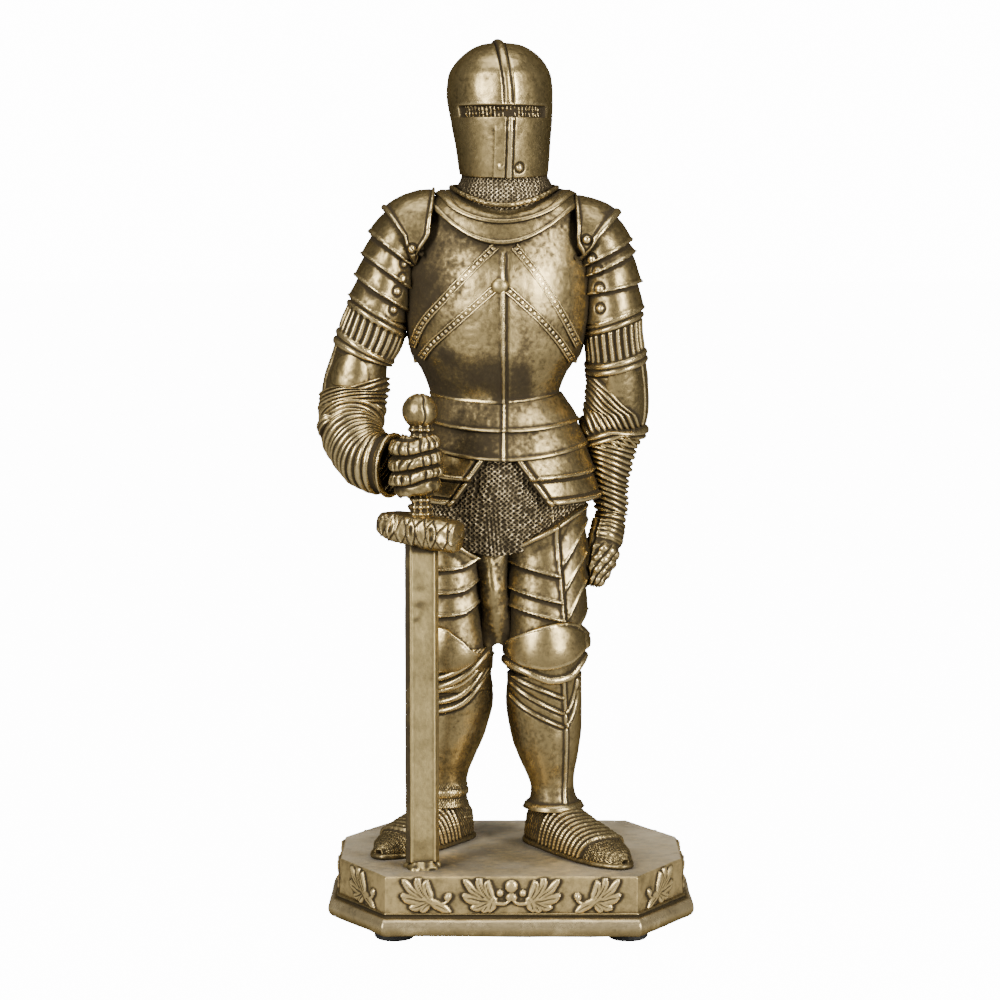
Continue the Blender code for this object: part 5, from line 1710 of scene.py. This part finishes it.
def make_fist():
    """The right hand in a gauntlet: four stacked fingers closed round the grip."""
    z = np.linspace(-8.6, 8.6, 84)[:, None]
    angle = np.radians(np.linspace(-180, 180, 200, endpoint=False))
    ease = (1 - (np.abs(z) / 9.2) ** 5) ** 0.4
    ahead, aside = squared(angle, 0.72)
    x = 6.4 * ease * aside
    relief = grid_relief(x - 28.5, -27.4 - 7.3 * ease * ahead, 144.2 + z)
    points = relief.points
    tilt = z - 0.2 * x + 0.5 * noise(points, 5.0, 132) + 8.8
    finger = row_gap(tilt, FINGER_PITCH)
    run = angle * 7.4 + 0.6 * np.floor(tilt / FINGER_PITCH) + 0.9 * noise(points, 3.2, 134)
    plated = smoothstep(2.2, 1.2, finger) * smoothstep(3.4, 5.0, tilt)
    relief.height += bead(finger, 2.1, 1.6) - 0.6 + plated * bead(row_gap(run, 2.9), 1.35, 0.8)
    relief.height += 0.55 * noise(points, 1.7, 133)
    relief.grime_and_shade += 0.35
    cast("gauntlet_right", relief, ARMOUR, 0.8)


def make_left_hand():
    """The left hand, hanging: fingers swept to the front, a thumb, a plated back and a cuff."""
    relief = ring_relief(Skin(LEFT_HAND), 0.1, 22.5, 0.0, 0.22)
    turn, at = relief.turn, relief.at
    from_thumb = np.abs(turn + 62.0) / DEGREES * 4.8
    beside_thumb = smoothstep(1.5, 2.4, from_thumb)
    fingers = smoothstep(12.6, 10.5, at) * beside_thumb
    finger = row_gap(turn + 12 - 6.0 * at, 34.0) / DEGREES * 4.6
    relief.height += fingers * (bead(finger, 1.4, 1.1) - 0.3 + bead(row_gap(at, 3.0), 0.9, 0.4))
    thumb = smoothstep(3.0, 5.5, at) * smoothstep(20.5, 18.5, at)
    groove = hill(from_thumb - 2.1, 0.6)
    relief.height += thumb * (bead(from_thumb, 1.5, 1.5) + 0.5 * groove)
    relief.grime_and_shade += thumb * hill(from_thumb - 2.1, 0.5)
    back_of_hand = smoothstep(12.6, 13.6, at) * smoothstep(19.4, 18.6, at) * beside_thumb
    relief.height += back_of_hand * (0.5 + 0.3 * bead(row_gap(at, 1.5), 0.6, 1.0))
    relief.height += smoothstep(18.6, 19.4, at) * bead(row_gap(at, 2.0), 0.85, 0.7)
    relief.height += 0.2 * noise(relief.points, 1.6, 153)
    cast("gauntlet_left", relief, ARMOUR, 0.6)


# ---------------------------------------------------------------- stage

CAMERA_AT = (-3.4, -852.0, 217.5)
CAMERA_PITCH = 5.77
CAMERA_LENS = 99.7
ROOM_LIGHT = 0.14
FLOOR_GLOW = 14.0
FLOOR_REACH = 9.0


def emitter(name, place, aim, size, power, color=(1.0, 1.0, 1.0)):
    light = bpy.data.lights.new(name, "AREA")
    light.shape = "RECTANGLE"
    light.size, light.size_y = size
    light.energy = power
    light.color = color
    lamp = bpy.data.objects.new(name, light)
    lamp.location = place
    lamp.rotation_euler = (Vector(aim) - Vector(place)).to_track_quat("-Z", "Y").to_euler()
    bpy.context.scene.collection.objects.link(lamp)


def seen_white(tree, socket, dim, bright):
    """Makes a strength dim for lighting and bright where the camera sees it directly, for a white page."""
    seen = tree.nodes.new("ShaderNodeLightPath").outputs["Is Camera Ray"]
    extra = math_node(tree, "MULTIPLY", seen, bright - dim)
    tree.links.new(math_node(tree, "ADD", extra, dim), socket)


def make_stage():
    mesh = bpy.data.meshes.new("floor")
    corners = [(x * FLOOR_REACH, y * FLOOR_REACH, 0) for x, y in ((-1, -1), (1, -1), (1, 1), (-1, 1))]
    mesh.from_pydata(corners, [], [(0, 1, 2, 3)])
    floor = bpy.data.objects.new("floor", mesh)
    material = bpy.data.materials.new("pale_floor")
    material.use_nodes = True
    shader = material.node_tree.nodes["Principled BSDF"]
    shader.inputs["Base Color"].default_value = (0.3, 0.3, 0.3, 1.0)
    shader.inputs["Roughness"].default_value = 0.9
    shader.inputs["Emission Color"].default_value = (1.0, 1.0, 1.0, 1.0)
    seen_white(material.node_tree, shader.inputs["Emission Strength"], 0.0, FLOOR_GLOW)
    mesh.materials.append(material)
    bpy.context.scene.collection.objects.link(floor)

    world = bpy.data.worlds.new("studio")
    world.use_nodes = True
    background = world.node_tree.nodes["Background"]
    background.inputs["Color"].default_value = (1.0, 1.0, 1.0, 1.0)
    seen_white(world.node_tree, background.inputs["Strength"], ROOM_LIGHT, FLOOR_GLOW + 0.6)
    bpy.context.scene.world = world
    aim = (0.0, 0.0, 0.15)
    emitter("key", (-0.62, -0.74, 0.5), aim, (0.28, 0.65), 15.0, (1.0, 0.985, 0.95))
    emitter("fill", (0.66, -0.7, 0.42), aim, (0.25, 0.65), 16.5, (1.0, 0.985, 0.95))
    emitter("top", (0.0, -0.1, 1.0), aim, (0.8, 0.5), 5.0)

    camera = bpy.data.cameras.new("camera")
    camera.lens = CAMERA_LENS
    camera.sensor_width = 36.0
    camera.clip_start = 0.05
    eye = bpy.data.objects.new("camera", camera)
    eye.location = np.array(CAMERA_AT) * MM + ORIGIN
    eye.rotation_euler = (math.radians(90.0 - CAMERA_PITCH), 0.0, 0.0)
    bpy.context.scene.collection.objects.link(eye)
    bpy.context.scene.camera = eye


make_plinth()
make_moulding()
make_blade()
make_socket()
make_guard()
make_grip_and_pommel()
make_left_leg()
make_right_leg()
make_drape()
make_skirt()
make_fauld()
make_tassets()
make_torso()
make_helmet()
make_right_arm()
make_left_arm()
make_stage()
